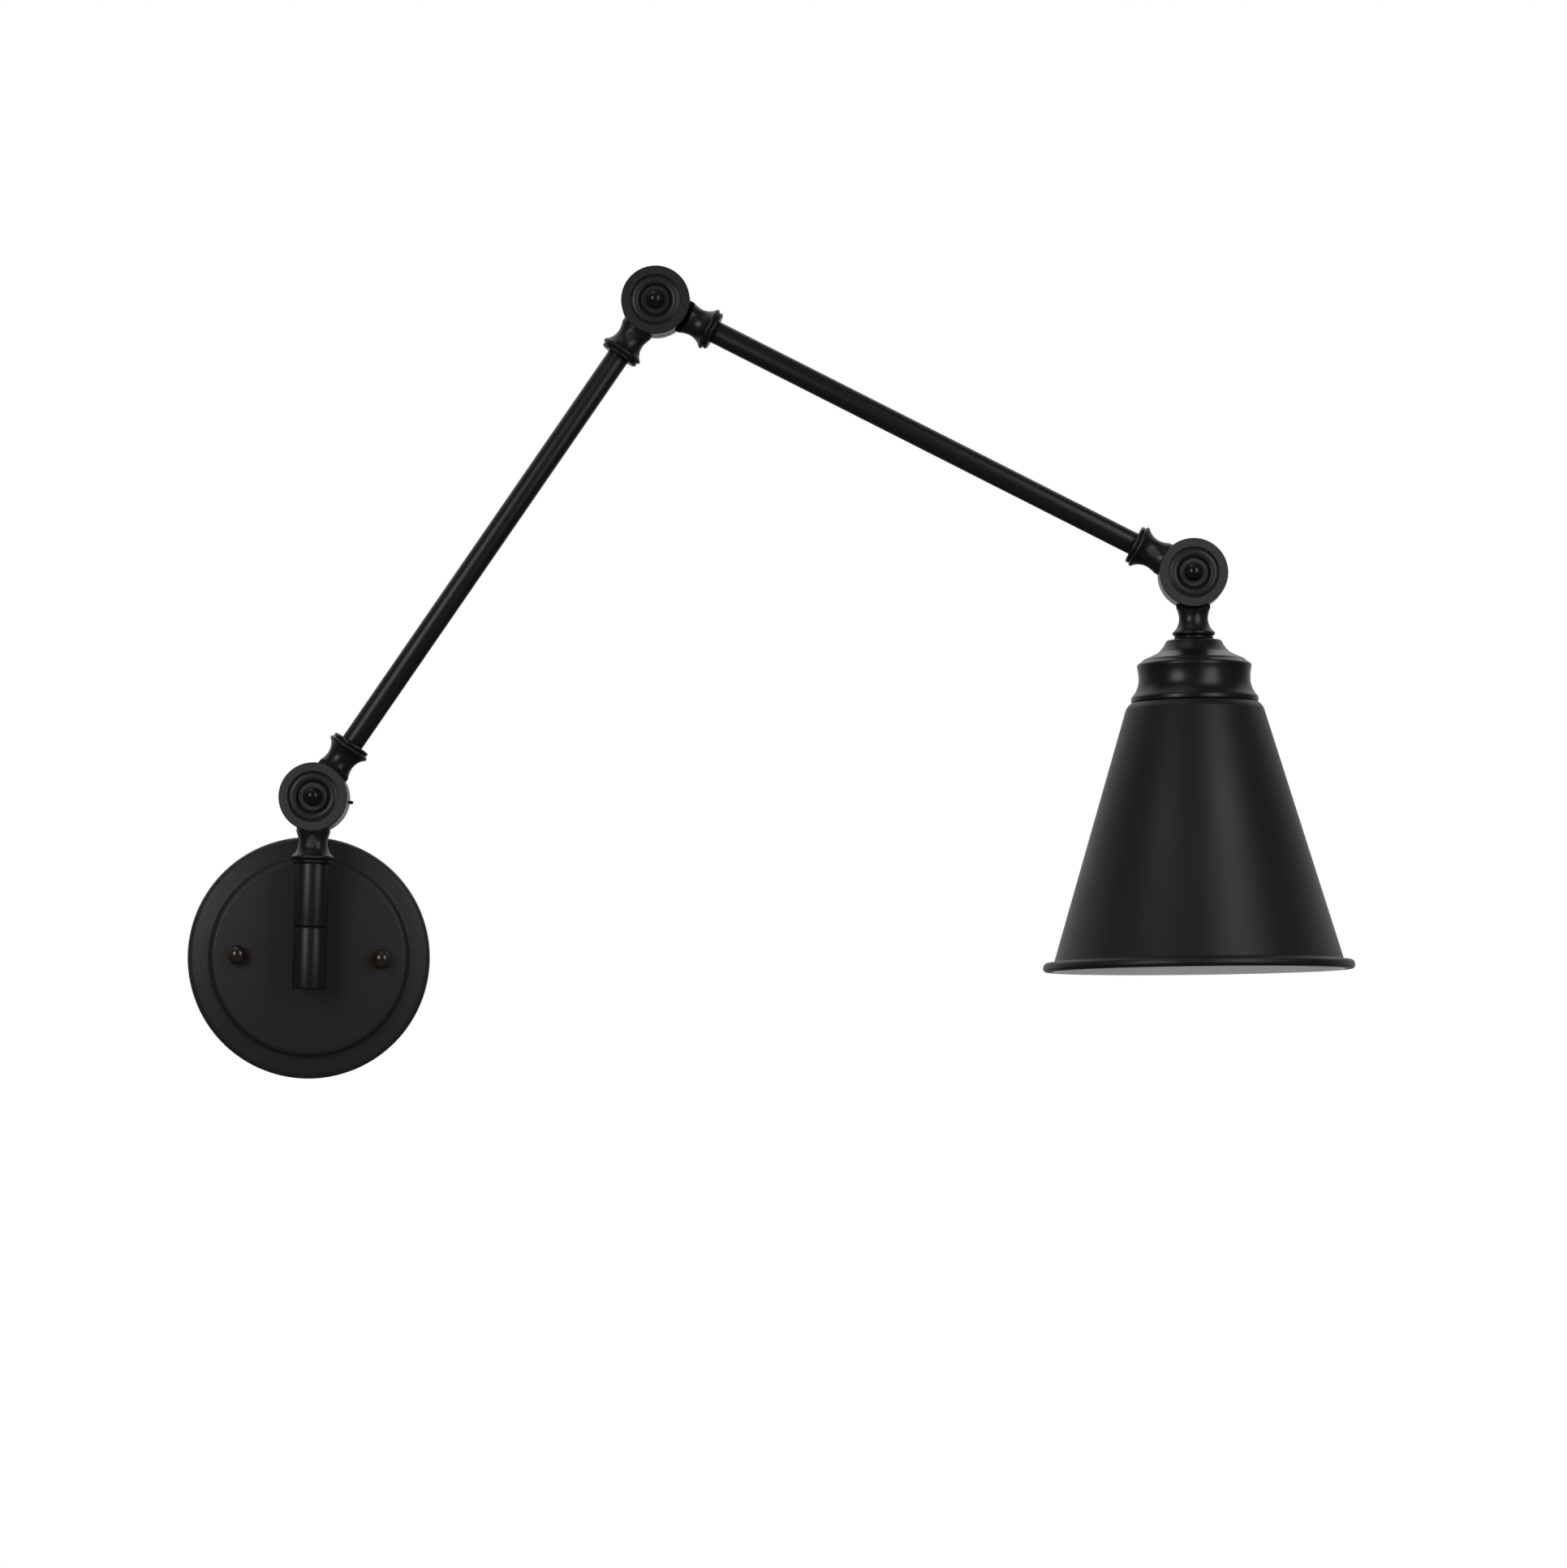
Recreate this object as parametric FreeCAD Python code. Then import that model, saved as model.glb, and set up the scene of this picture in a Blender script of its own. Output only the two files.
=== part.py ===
import FreeCAD, Part
import math
import os

# Articulating wall lamp, millimetres. +Z is up, the wall is the plane Y = 0 and the lamp stands out to -Y.
# The origin is the middle of the canopy's back. The arms lie in one upright plane through the swivel.

# ---- wall plate ----------------------------------------------------------------------------------------
CANOPY_R = 58.8             # outside radius of the round canopy
CANOPY_DEPTH = 18.0         # wall to the raised middle of the canopy
CANOPY_SKIN = 1.4           # sheet of the canopy
CANOPY_SIDE = 12.0          # wall to the outer edge of the sloping border
CANOPY_EDGE_R = 3.2         # rounding between the side and the border
BORDER_RISE = 1.1           # how far the border climbs towards the middle
STEP_HEAD_R = 45.6          # head of the step between border and middle
STEP_FOOT_R = 49.9          # foot of the step
STEP_BOW = 0.6              # bow of each half of the step's S-shaped side
STUD_SPACING = 69.85        # 2 3/4 in, between the two canopy studs
BOX_SPACING = 88.9          # 3 1/2 in, between the two outlet-box slots
BOX_SLOT_W = 4.6            # slot width for the outlet-box screws
BOX_SLOT_L = 9.0            # slot length, end to end
BAR_L = 104.0               # crossbar length
BAR_W = 20.0                # crossbar width
BAR_T = 2.0                 # crossbar thickness
BAR_CORNER = 3.0            # crossbar corner radius
BAR_WIRE_R = 6.0            # hole in the crossbar for the house wires
STUD_R = 2.08               # radius of the canopy studs
STUD_PAST_CANOPY = 5.0      # how far a stud reaches into its ball nut
STUD_HOLE_GAP = 0.5         # clearance round a stud in the canopy
CANOPY_BALL_R = 4.75        # canopy ball nuts
GROUND_AT = 18.0            # ground screw, from the middle of the crossbar
GROUND_R = 2.0              # ground screw shank
GROUND_HEAD_R = 4.2         # ground screw head
GROUND_HEAD_H = 2.8         # ground screw head height

# ---- stem and swivel -----------------------------------------------------------------------------------
AXIS_OUT = 32.0             # wall to the upright swivel axis
POST_R = 8.15               # swivel post and sleeve, outside
POST_DOWN = 15.8            # post, below the canopy's middle
POST_UP = 13.4              # post, above the canopy's middle
POST_BORE_R = 6.6           # wiring space inside the post
POST_LAND = 7.4             # length of the bearing at the top of the post
PLUG_T = 3.0                # plug in the bottom of the post
NIPPLE_R = 4.85             # lamp pipe, outside: stem, spindle and lamp stem
NIPPLE_BORE_R = 3.1         # lamp pipe, inside
NIPPLE_BACK = 6.0           # wall to the back end of the stem pipe
STEM_COLLAR_R = 6.6         # collar between canopy and post
LOCK_WASHER_T = 1.0         # washer under the stem nut
LOCK_WASHER_R = 8.2         # its outside radius
STEM_NUT_AF = 14.0          # stem nut, across flats
STEM_NUT_H = 4.0            # stem nut height
SEAM_WASHER_T = 1.0         # washer in the seam of the swivel
SEAM_WASHER_R = 7.3         # its outside radius
SPINDLE_IN_SLEEVE = 10.0    # length of spindle held by the sleeve
SPINDLE_NUT_R = 6.15        # round nut under the post's bearing
SPINDLE_NUT_H = 3.0         # its height
SLEEVE_BORE_R = 6.45        # wiring space inside the sleeve
SLEEVE_FLOOR = 8.0          # threaded floor of the sleeve
SLEEVE_SPIGOT = 10.0        # knuckle spigot inside the sleeve
RUNNING_GAP = 0.05          # radial clearance of every turning fit

# ---- knuckles ------------------------------------------------------------------------------------------
KNUCKLE_UP = 76.7           # base knuckle above the canopy's middle
DISC_R = 16.65              # knuckle disc radius
KNUCKLE_HALF = 8.8          # half of the knuckle's thickness
FRICTION_T = 0.8            # friction washer between the two discs
LAP_GAP = 2.2               # open gap between a disc's edge and the other half's shoulder
EDGE_BREAK = 0.4            # small chamfers
GROOVE_OUT_R = 12.4         # turned groove in the disc's face, outer radius
GROOVE_W = 1.2              # turned groove width
RIDGE_W = 1.4               # ridge inside the groove
RIDGE_DROP = 0.15           # ridge, below the face
DISH_R = 8.1                # foot of the dish
DISH_DEPTH = 1.8            # depth of the dish's floor
BOLT_R = 2.5                # knuckle bolt
BOLT_HEAD_R = 4.4           # knuckle bolt head
BOLT_HEAD_H = 2.6           # knuckle bolt head height
BOLT_SLOT_W = 1.2           # screwdriver slot
BOLT_IN_NUT = 4.4           # bolt inside the ball nut
SPRING_WASHER_R = 6.6       # spring washer under the bolt head
SPRING_WASHER_T = 1.2       # its thickness
FACE_WASHER_R = 6.9         # washer under the ball nut
FACE_WASHER_T = 1.3         # its thickness
KNUCKLE_BALL_R = 4.5        # knuckle ball nuts
BALL_SEAT_SHARE = 0.6       # height of a ball's centre over its seat, as a share of its radius
CHAMBER_OUT_R = 10.2        # wiring chamber inside a disc, outer radius
CHAMBER_IN_R = 4.6          # boss round the bolt
CHAMBER_DEPTH = 5.2         # wiring chamber depth
FRICTION_IN_R = 10.8        # friction washer, inside
FRICTION_OUT_R = 15.6       # friction washer, outside
STOP_AT_R = 13.2            # stop pin, from the bolt
STOP_PIN_R = 1.2            # stop pin radius
STOP_PIN_IN = 3.0           # stop pin, length held in the front disc
STOP_GROOVE_DEPTH = 1.6     # stop groove in the back disc
STOP_SIDE_GAP = 0.25        # clearance of the pin in its groove
STOP_TIP_GAP = 0.3          # clearance at the end of the pin
STOP_ANGLE = 100.0          # turn each way from straight
WIRE_BORE_R = 1.6           # wire way from chamber to neck
WIRE_BORE_OUT = 4.3         # wire way, from the middle plane
LOCK_PIN_R = 0.85           # small pin in the edge of the lower arm's disc
LOCK_PIN_PROUD = 1.85       # how far it stands out
LOCK_PIN_IN = 4.2           # how far it goes in
LOCK_PIN_TURN = -62.5       # its place round the disc, from the arm

# ---- turned necks --------------------------------------------------------------------------------------
NECK_ROOT_R = 8.25          # neck where it leaves the disc
WAIST_R = 7.0               # neck waist
WAIST_AT = 21.5             # waist, from the pivot
FLARE_R = 8.9               # neck below the flange
FLARE_AT = 27.2             # that place, from the pivot
FLANGE_R = 10.4             # neck flange
FLANGE_AT = 29.05           # flange, from the pivot
FLANGE_T = 1.2              # flange thickness at its rounded edge
BEAD_R = 9.5                # small bead after the flange
BEAD_AT = 30.45             # foot of the groove before the bead
COLLAR_END = 32.2           # end of the neck, from the pivot
COLLAR_FACE_R = 8.7         # flat end of the neck
NECK_BORE_R = 2.9           # wire way through the neck and spigot
NECK_ROOT_BOW = 0.22        # hollow of the side between root and waist
NECK_FLARE_BOW = 0.52       # hollow of the side between waist and flange

# ---- arms ----------------------------------------------------------------------------------------------
ARM_L = 292.1               # 11 1/2 in, pivot to pivot, both arms
TUBE_R = 5.5                # arm tube, outside
TUBE_BORE_R = 4.3           # arm tube, inside
ARM_SPIGOT = 12.0           # casting spigot inside the tube
LOWER_ARM_ANGLE = 57.1      # lower arm above level
UPPER_ARM_ANGLE = -25.6     # upper arm above level
LAMP_ANGLE = -87.9          # lamp axis above level
SWING_OUT = 6.0             # arm plane turned out from the wall

# ---- lamp head, measured along its axis from the head pivot --------------------------------------------
LAMP_STEM = 10.0            # lamp stem past the end of the neck
CUP_SKIN = 1.2              # metal of the cup
CUP_TOP_R = 13.2            # cup, top
CUP_TOP_BREAK = 1.0         # rounding of the cup's top
CUP_THROAT_R = 17.4         # cup, throat of the trumpet
CUP_THROAT_AT = 38.2        # that place
CUP_FLARE_R = 24.6          # cup, foot of the trumpet
CUP_FLARE_AT = 41.6         # that place
CUP_RING_R = 27.65          # cup, upper ring
CUP_RING_AT = 45.5          # that place
CUP_STEP_RISE = 2.0         # small step between trumpet and ring
CUP_WAIST_R = 27.05         # cup, waist
CUP_WAIST_AT = 51.0         # that place
CUP_MOUTH_R = 30.8          # cup, mouth bead
CUP_MOUTH_AT = 60.3         # that place
CUP_END = 62.4              # cup, open end
CUP_THROAT_BOW = 0.42       # hollow of the trumpet above its throat
CUP_FLARE_BOW = 0.1         # hollow of the trumpet below it
CUP_WAIST_BOW = 0.17        # hollow between the ring and the waist
CUP_MOUTH_BOW = 0.9         # hollow between the waist and the mouth
CUP_NUT_AF = 14.0           # nut inside the cup, across flats
CUP_NUT_H = 3.0             # its height
SOCKET_GAP = 1.2            # nut to the top of the socket
SOCKET_TOP_R = 10.0         # top of the socket
SOCKET_R = 16.5             # socket body
SOCKET_TOP_T = 11.0         # solid top of the socket
SOCKET_TAPER = 5.5          # height of the sloping top
SHOULDER_R = 22.0           # socket shoulder over the shade
SHOULDER_T = 3.0            # its thickness
SKIRT_R = 19.3              # threaded skirt through the shade
SKIRT_END = 84.0            # end of the skirt
BULB_THREAD_R = 13.1        # medium Edison screw, inside of the shell
SHELL_T = 0.8               # screw shell metal
SHELL_L = 24.0              # screw shell length
SHELL_SET_BACK = 9.0        # skirt end to shell end
CONTACT_R = 3.2             # centre contact
CONTACT_H = 2.2             # its height
CONTACT_STRIP_W = 5.0       # its brass strip
CONTACT_STRIP_L = 18.0      # its length
CONTACT_STRIP_T = 0.8       # its thickness
TERMINAL_AT = 7.5           # terminal screws, below the top of the socket
TERMINAL_R = 3.0            # terminal screw heads
TERMINAL_HEAD_H = 1.6       # their height
TERMINAL_SHANK_R = 1.5      # terminal screw shanks
TERMINAL_SHANK_L = 5.0      # their length
SHADE_SKIN = 0.9            # sheet of the shade
SHADE_HOLE_GAP = 0.4        # shade hole over the socket skirt
SHADE_SHOULDER_R = 33.5     # shade, below its shoulder
SHADE_SHOULDER_AT = 66.1    # that place
SHADE_FOOT_R = 69.75        # end of the straight cone
SHADE_FOOT_AT = 187.3       # that place
RIM_R = 75.0                # rolled rim, outside
RIM_END = 192.0             # rolled rim, open end
SHADE_SHOULDER_BOW = 0.4    # rounding of the sloping shoulder
RING_R = 24.5               # shade ring
RING_T = 4.0                # its thickness

# ---- places worked out from the sizes ------------------------------------------------------------------
X = FreeCAD.Vector(1, 0, 0)
Y = FreeCAD.Vector(0, 1, 0)
Z = FreeCAD.Vector(0, 0, 1)
ORIGIN = FreeCAD.Vector(0, 0, 0)
FRONT = -1
BACK = 1
TOUCHING = 1e-6             # two corners closer than this are the same corner
QUARTER_BOW = 1 - math.sqrt(0.5)    # bow of a quarter-round side, as a share of its radius

HALF_GAP = FRICTION_T / 2
DISH_FLOOR = KNUCKLE_HALF - DISH_DEPTH
CLEAR_R = DISC_R + LAP_GAP
NECK_FROM = GROOVE_OUT_R + EDGE_BREAK / 4
DISC_MIDDLE = (KNUCKLE_HALF + HALF_GAP) / 2
SLEEVE_FROM = POST_UP + SEAM_WASHER_T
SLEEVE_TO = KNUCKLE_UP - COLLAR_END
CUP_NUT_TO = COLLAR_END + CUP_SKIN + CUP_NUT_H
SOCKET_FROM = CUP_NUT_TO + SOCKET_GAP
SOCKET_FLOOR = SOCKET_FROM + SOCKET_TOP_T
SHELL_TO = SKIRT_END - SHELL_SET_BACK
SHELL_R = BULB_THREAD_R + SHELL_T


def arm_point(start, angle, length):
    """The point at a length along a direction in the arm plane, before the plane is swung out."""
    turn = math.radians(angle)
    return start + FreeCAD.Vector(math.cos(turn), 0, math.sin(turn)) * length


BASE_PIVOT = FreeCAD.Vector(0, -AXIS_OUT, KNUCKLE_UP)
ELBOW_PIVOT = arm_point(BASE_PIVOT, LOWER_ARM_ANGLE, ARM_L)
HEAD_PIVOT = arm_point(ELBOW_PIVOT, UPPER_ARM_ANGLE, ARM_L)


# ---- small builders ------------------------------------------------------------------------------------
def turned(outline, axis=Z, base=ORIGIN):
    """A turned solid. The outline is (radius, height) corners; a third number bows the side ending there."""
    edges = []
    for place, corner in enumerate(outline):
        last = outline[place - 1]
        start = FreeCAD.Vector(last[0], 0, last[1])
        end = FreeCAD.Vector(corner[0], 0, corner[1])
        side = end - start
        if side.Length < TOUCHING:
            continue
        if len(corner) == 3:
            left = FreeCAD.Vector(-side.z, 0, side.x).normalize()
            middle = (start + end) / 2 + left * corner[2]
            edges.append(Part.Arc(start, middle, end).toShape())
        else:
            edges.append(Part.makeLine(start, end))
    solid = Part.Face(Part.Wire(edges)).revolve(ORIGIN, Z, 360)
    solid.Placement = FreeCAD.Placement(base, FreeCAD.Rotation(Z, axis))
    return solid


def rod(radius, start, end, base=ORIGIN, axis=Z):
    """A round bar between two heights along an axis through base."""
    return Part.makeCylinder(radius, end - start, base + axis * start, axis)


def tube(outer, inner, start, end, base=ORIGIN, axis=Z):
    """A round tube or washer between two heights along an axis through base."""
    return rod(outer, start, end, base, axis).cut(rod(inner, start, end, base, axis))


def hex_nut(across, hole, start, end, base=ORIGIN, axis=Z):
    """A hexagon nut with its corners turned off on both faces."""
    corner_r = across / math.sqrt(3)
    corners = []
    for count in range(7):
        turn = math.radians(60 * count)
        corners.append(FreeCAD.Vector(corner_r * math.cos(turn), corner_r * math.sin(turn), 0))
    prism = Part.Face(Part.makePolygon(corners)).extrude(Z * (end - start))
    lift = corner_r - across / 2
    height = end - start
    barrel = turned([(0, 0), (across / 2, 0), (corner_r, lift), (corner_r, height - lift),
                     (across / 2, height), (0, height)])
    nut = prism.common(barrel).cut(rod(hole, 0, height))
    nut.Placement = FreeCAD.Placement(base + axis * start, FreeCAD.Rotation(Z, axis))
    return nut


def ball_nut(ball_r, thread_r, thread_l, base, axis):
    """A ball with a flat seat at base and a blind threaded hole."""
    centre = ball_r * BALL_SEAT_SHARE
    seat_r = math.sqrt(ball_r ** 2 - centre ** 2)
    ball = turned([(0, 0), (seat_r, 0), (0, centre + ball_r, -sagitta(seat_r, centre + ball_r, ball_r))],
                  axis, base)
    return ball.cut(rod(thread_r, 0, thread_l, base, axis))


def sagitta(run, rise, radius):
    """The bow of an arc of more than half a circle over a chord of the given run and rise."""
    half = math.hypot(run, rise) / 2
    offset = math.sqrt(max(radius ** 2 - half ** 2, 0.0))
    return radius - offset


def in_arm_plane(shape, pivot, angle):
    """Turns a shape made along +X to an angle in the arm plane, moves it to a pivot and swings it out."""
    placed = shape.copy()
    placed.rotate(ORIGIN, Y, -angle)
    placed.translate(pivot)
    return swung_out(placed)


def swung_out(shape):
    """Swings a shape out from the wall with the arm plane."""
    placed = shape.copy()
    placed.rotate(FreeCAD.Vector(0, -AXIS_OUT, 0), Z, -SWING_OUT)
    return placed


def write(node, shape):
    """Writes one node's STEP file."""
    if shape.ShapeType == "Compound" and len(shape.Solids) == 1:
        shape = shape.Solids[0]
    shape.exportStep("parts/" + node + ".step")


# ---- wall plate ----------------------------------------------------------------------------------------
def canopy():
    """The round canopy, a shell that is open to the wall."""
    border_top = CANOPY_SIDE + BORDER_RISE
    step_middle_r = (STEP_HEAD_R + STEP_FOOT_R) / 2
    step_middle = (border_top + CANOPY_DEPTH) / 2
    inner_r = CANOPY_R - CANOPY_SKIN
    inner_edge = CANOPY_EDGE_R / 2
    shell = turned([
        (inner_r, 0),
        (CANOPY_R, 0),
        (CANOPY_R, CANOPY_SIDE - CANOPY_EDGE_R),
        (CANOPY_R - CANOPY_EDGE_R, CANOPY_SIDE, -CANOPY_EDGE_R * QUARTER_BOW),
        (STEP_FOOT_R, border_top),
        (step_middle_r, step_middle, STEP_BOW),
        (STEP_HEAD_R, CANOPY_DEPTH, -STEP_BOW),
        (0, CANOPY_DEPTH),
        (0, CANOPY_DEPTH - CANOPY_SKIN),
        (STEP_HEAD_R, CANOPY_DEPTH - CANOPY_SKIN),
        (step_middle_r - CANOPY_SKIN, step_middle, STEP_BOW / 3),
        (STEP_FOOT_R, border_top - CANOPY_SKIN, -STEP_BOW * 1.5),
        (inner_r - inner_edge, CANOPY_SIDE - CANOPY_SKIN),
        (inner_r, CANOPY_SIDE - CANOPY_SKIN - inner_edge),
    ], -Y)
    shell = shell.cut(rod(NIPPLE_R, 0, CANOPY_DEPTH, ORIGIN, -Y))
    for side in (-1, 1):
        stud_place = X * (side * STUD_SPACING / 2)
        shell = shell.cut(rod(STUD_R + STUD_HOLE_GAP, 0, CANOPY_DEPTH, stud_place, -Y))
    return shell


def wall_crossbar():
    """The flat steel bar that is screwed to the outlet box."""
    bar = Part.makeBox(BAR_L, BAR_T, BAR_W, FreeCAD.Vector(-BAR_L / 2, -BAR_T, -BAR_W / 2))
    uprights = [edge for edge in bar.Edges if abs(edge.tangentAt(0).y) > 0.9]
    bar = bar.makeFillet(BAR_CORNER, uprights)
    bar = bar.cut(rod(BAR_WIRE_R, 0, BAR_T, ORIGIN, -Y))
    bar = bar.cut(rod(GROUND_R, 0, BAR_T, X * GROUND_AT, -Y))
    for side in (-1, 1):
        bar = bar.cut(rod(STUD_R, 0, BAR_T, X * (side * STUD_SPACING / 2), -Y))
        bar = bar.cut(slot(X * (side * BOX_SPACING / 2), BOX_SLOT_L, BOX_SLOT_W, BAR_T))
    return bar


def slot(centre, length, width, depth):
    """A round-ended slot along X, cut from the wall plane outwards."""
    straight = length - width
    middle = Part.makeBox(straight, depth, width, centre + FreeCAD.Vector(-straight / 2, -depth, -width / 2))
    for side in (-1, 1):
        middle = middle.fuse(rod(width / 2, 0, depth, centre + X * (side * straight / 2), -Y))
    return middle


def crossbar_studs():
    """Two threaded studs that stand in the crossbar and carry the canopy's ball nuts."""
    studs = []
    for side in (-1, 1):
        place = X * (side * STUD_SPACING / 2)
        tip = CANOPY_DEPTH + STUD_PAST_CANOPY
        studs.append(turned([(0, 0), (STUD_R, 0), (STUD_R, tip - EDGE_BREAK), (STUD_R - EDGE_BREAK, tip),
                             (0, tip)], -Y, place))
    return Part.makeCompound(studs)


def canopy_ball_nuts():
    """The two ball nuts on the face of the canopy."""
    nuts = []
    for side in (-1, 1):
        seat = FreeCAD.Vector(side * STUD_SPACING / 2, -CANOPY_DEPTH, 0)
        nuts.append(ball_nut(CANOPY_BALL_R, STUD_R, STUD_PAST_CANOPY, seat, -Y))
    return Part.makeCompound(nuts)


def ground_screw():
    """The ground screw in the crossbar, with its head on the room side."""
    top = BAR_T + GROUND_HEAD_H
    screw = turned([(0, 0), (GROUND_R, 0), (GROUND_R, BAR_T), (GROUND_HEAD_R, BAR_T),
                    (GROUND_HEAD_R, top - EDGE_BREAK), (GROUND_HEAD_R - EDGE_BREAK, top), (0, top)],
                   -Y, X * GROUND_AT)
    cut_deep = GROUND_HEAD_H / 2
    notch = Part.makeBox(2 * GROUND_HEAD_R, cut_deep, BOLT_SLOT_W,
                         FreeCAD.Vector(GROUND_AT - GROUND_HEAD_R, -top, -BOLT_SLOT_W / 2))
    return screw.cut(notch)


# ---- stem and swivel -----------------------------------------------------------------------------------
def stem_nipple():
    """The lamp pipe that holds the post to the canopy."""
    return tube(NIPPLE_R, NIPPLE_BORE_R, NIPPLE_BACK, AXIS_OUT - POST_BORE_R, ORIGIN, -Y)


def stem_lock_washer():
    """The washer behind the canopy's face."""
    back = CANOPY_DEPTH - CANOPY_SKIN - LOCK_WASHER_T
    return tube(LOCK_WASHER_R, NIPPLE_R, back, back + LOCK_WASHER_T, ORIGIN, -Y)


def stem_lock_nut():
    """The nut that draws the post against the canopy."""
    top = CANOPY_DEPTH - CANOPY_SKIN - LOCK_WASHER_T
    return hex_nut(STEM_NUT_AF, NIPPLE_R, top - STEM_NUT_H, top, ORIGIN, -Y)


def stem_collar():
    """The collar between the canopy's face and the round of the post."""
    collar = tube(STEM_COLLAR_R, NIPPLE_R, CANOPY_DEPTH, AXIS_OUT, ORIGIN, -Y)
    return collar.cut(rod(POST_R, -2 * POST_DOWN, 2 * POST_UP, -Y * AXIS_OUT))


def swivel_post():
    """The fixed lower half of the swivel, bored for the wires and the spindle."""
    axis = -Y * AXIS_OUT
    post = turned([(0, -POST_DOWN), (POST_R - EDGE_BREAK, -POST_DOWN), (POST_R, -POST_DOWN + EDGE_BREAK),
                   (POST_R, POST_UP - EDGE_BREAK), (POST_R - EDGE_BREAK, POST_UP), (0, POST_UP)], Z, axis)
    post = post.cut(rod(POST_BORE_R, -POST_DOWN, POST_UP - POST_LAND, axis))
    post = post.cut(rod(NIPPLE_R + RUNNING_GAP, -POST_DOWN, POST_UP, axis))
    return post.cut(rod(NIPPLE_R, AXIS_OUT - POST_R - EDGE_BREAK, AXIS_OUT, ORIGIN, -Y))


def post_plug():
    """The plug that closes the bottom of the post."""
    return rod(POST_BORE_R, -POST_DOWN, PLUG_T - POST_DOWN, -Y * AXIS_OUT)


def swivel_washer():
    """The thin washer in the seam of the swivel."""
    return tube(SEAM_WASHER_R, NIPPLE_R + RUNNING_GAP, POST_UP, SLEEVE_FROM, -Y * AXIS_OUT)


def swivel_spindle():
    """The hollow spindle that turns in the post and is held by the sleeve."""
    low = POST_UP - POST_LAND - SPINDLE_NUT_H - EDGE_BREAK
    return swung_out(tube(NIPPLE_R, NIPPLE_BORE_R, low, SLEEVE_FROM + SPINDLE_IN_SLEEVE, -Y * AXIS_OUT))


def spindle_nut():
    """The round nut that keeps the spindle in the post."""
    top = POST_UP - POST_LAND
    return swung_out(tube(SPINDLE_NUT_R, NIPPLE_R, top - SPINDLE_NUT_H, top, -Y * AXIS_OUT))


def swivel_sleeve():
    """The turning upper half of the swivel."""
    axis = -Y * AXIS_OUT
    sleeve = turned([(0, SLEEVE_FROM), (POST_R - EDGE_BREAK, SLEEVE_FROM), (POST_R, SLEEVE_FROM + EDGE_BREAK),
                     (POST_R, SLEEVE_TO), (0, SLEEVE_TO)], Z, axis)
    sleeve = sleeve.cut(rod(NIPPLE_R, SLEEVE_FROM, SLEEVE_TO, axis))
    return swung_out(sleeve.cut(rod(SLEEVE_BORE_R, SLEEVE_FROM + SLEEVE_FLOOR, SLEEVE_TO, axis)))


# ---- knuckles ------------------------------------------------------------------------------------------
def neck_outline(spigot_r, spigot_l):
    """The turned neck from inside the disc's border to the end of its spigot."""
    flange_low = FLANGE_AT - FLANGE_T / 2
    flange_high = FLANGE_AT + FLANGE_T / 2
    end = COLLAR_END + spigot_l
    return [
        (0, NECK_FROM),
        (NECK_ROOT_R, NECK_FROM),
        (NECK_ROOT_R, DISC_R),
        (WAIST_R, WAIST_AT, NECK_ROOT_BOW),
        (FLARE_R, FLARE_AT, NECK_FLARE_BOW),
        (FLANGE_R - EDGE_BREAK / 2, flange_low),
        (FLANGE_R - EDGE_BREAK / 2, flange_high, -EDGE_BREAK / 2),
        (BEAD_R - EDGE_BREAK, BEAD_AT),
        (BEAD_R, BEAD_AT + EDGE_BREAK),
        (BEAD_R - EDGE_BREAK / 2, COLLAR_END - EDGE_BREAK, -EDGE_BREAK / 4),
        (COLLAR_FACE_R, COLLAR_END),
        (spigot_r, COLLAR_END),
        (spigot_r, end),
        (0, end),
    ]


def disc(side):
    """One knuckle disc with its turned face, on the front or the back of the middle plane."""
    ridge_out = GROOVE_OUT_R - GROOVE_W
    ridge_in = ridge_out - RIDGE_W
    ridge_top = KNUCKLE_HALF - RIDGE_DROP
    return turned([
        (0, HALF_GAP),
        (DISC_R - EDGE_BREAK / 2, HALF_GAP),
        (DISC_R, HALF_GAP + EDGE_BREAK / 2),
        (DISC_R, KNUCKLE_HALF - EDGE_BREAK),
        (DISC_R - EDGE_BREAK, KNUCKLE_HALF),
        (GROOVE_OUT_R, KNUCKLE_HALF),
        (ridge_out, ridge_top, GROOVE_W / 2),
        (ridge_in, ridge_top - RIDGE_DROP, -RIDGE_DROP),
        (DISH_R, DISH_FLOOR + EDGE_BREAK),
        (DISH_R - EDGE_BREAK, DISH_FLOOR, EDGE_BREAK / 4),
        (0, DISH_FLOOR),
    ], Y * side)


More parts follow.
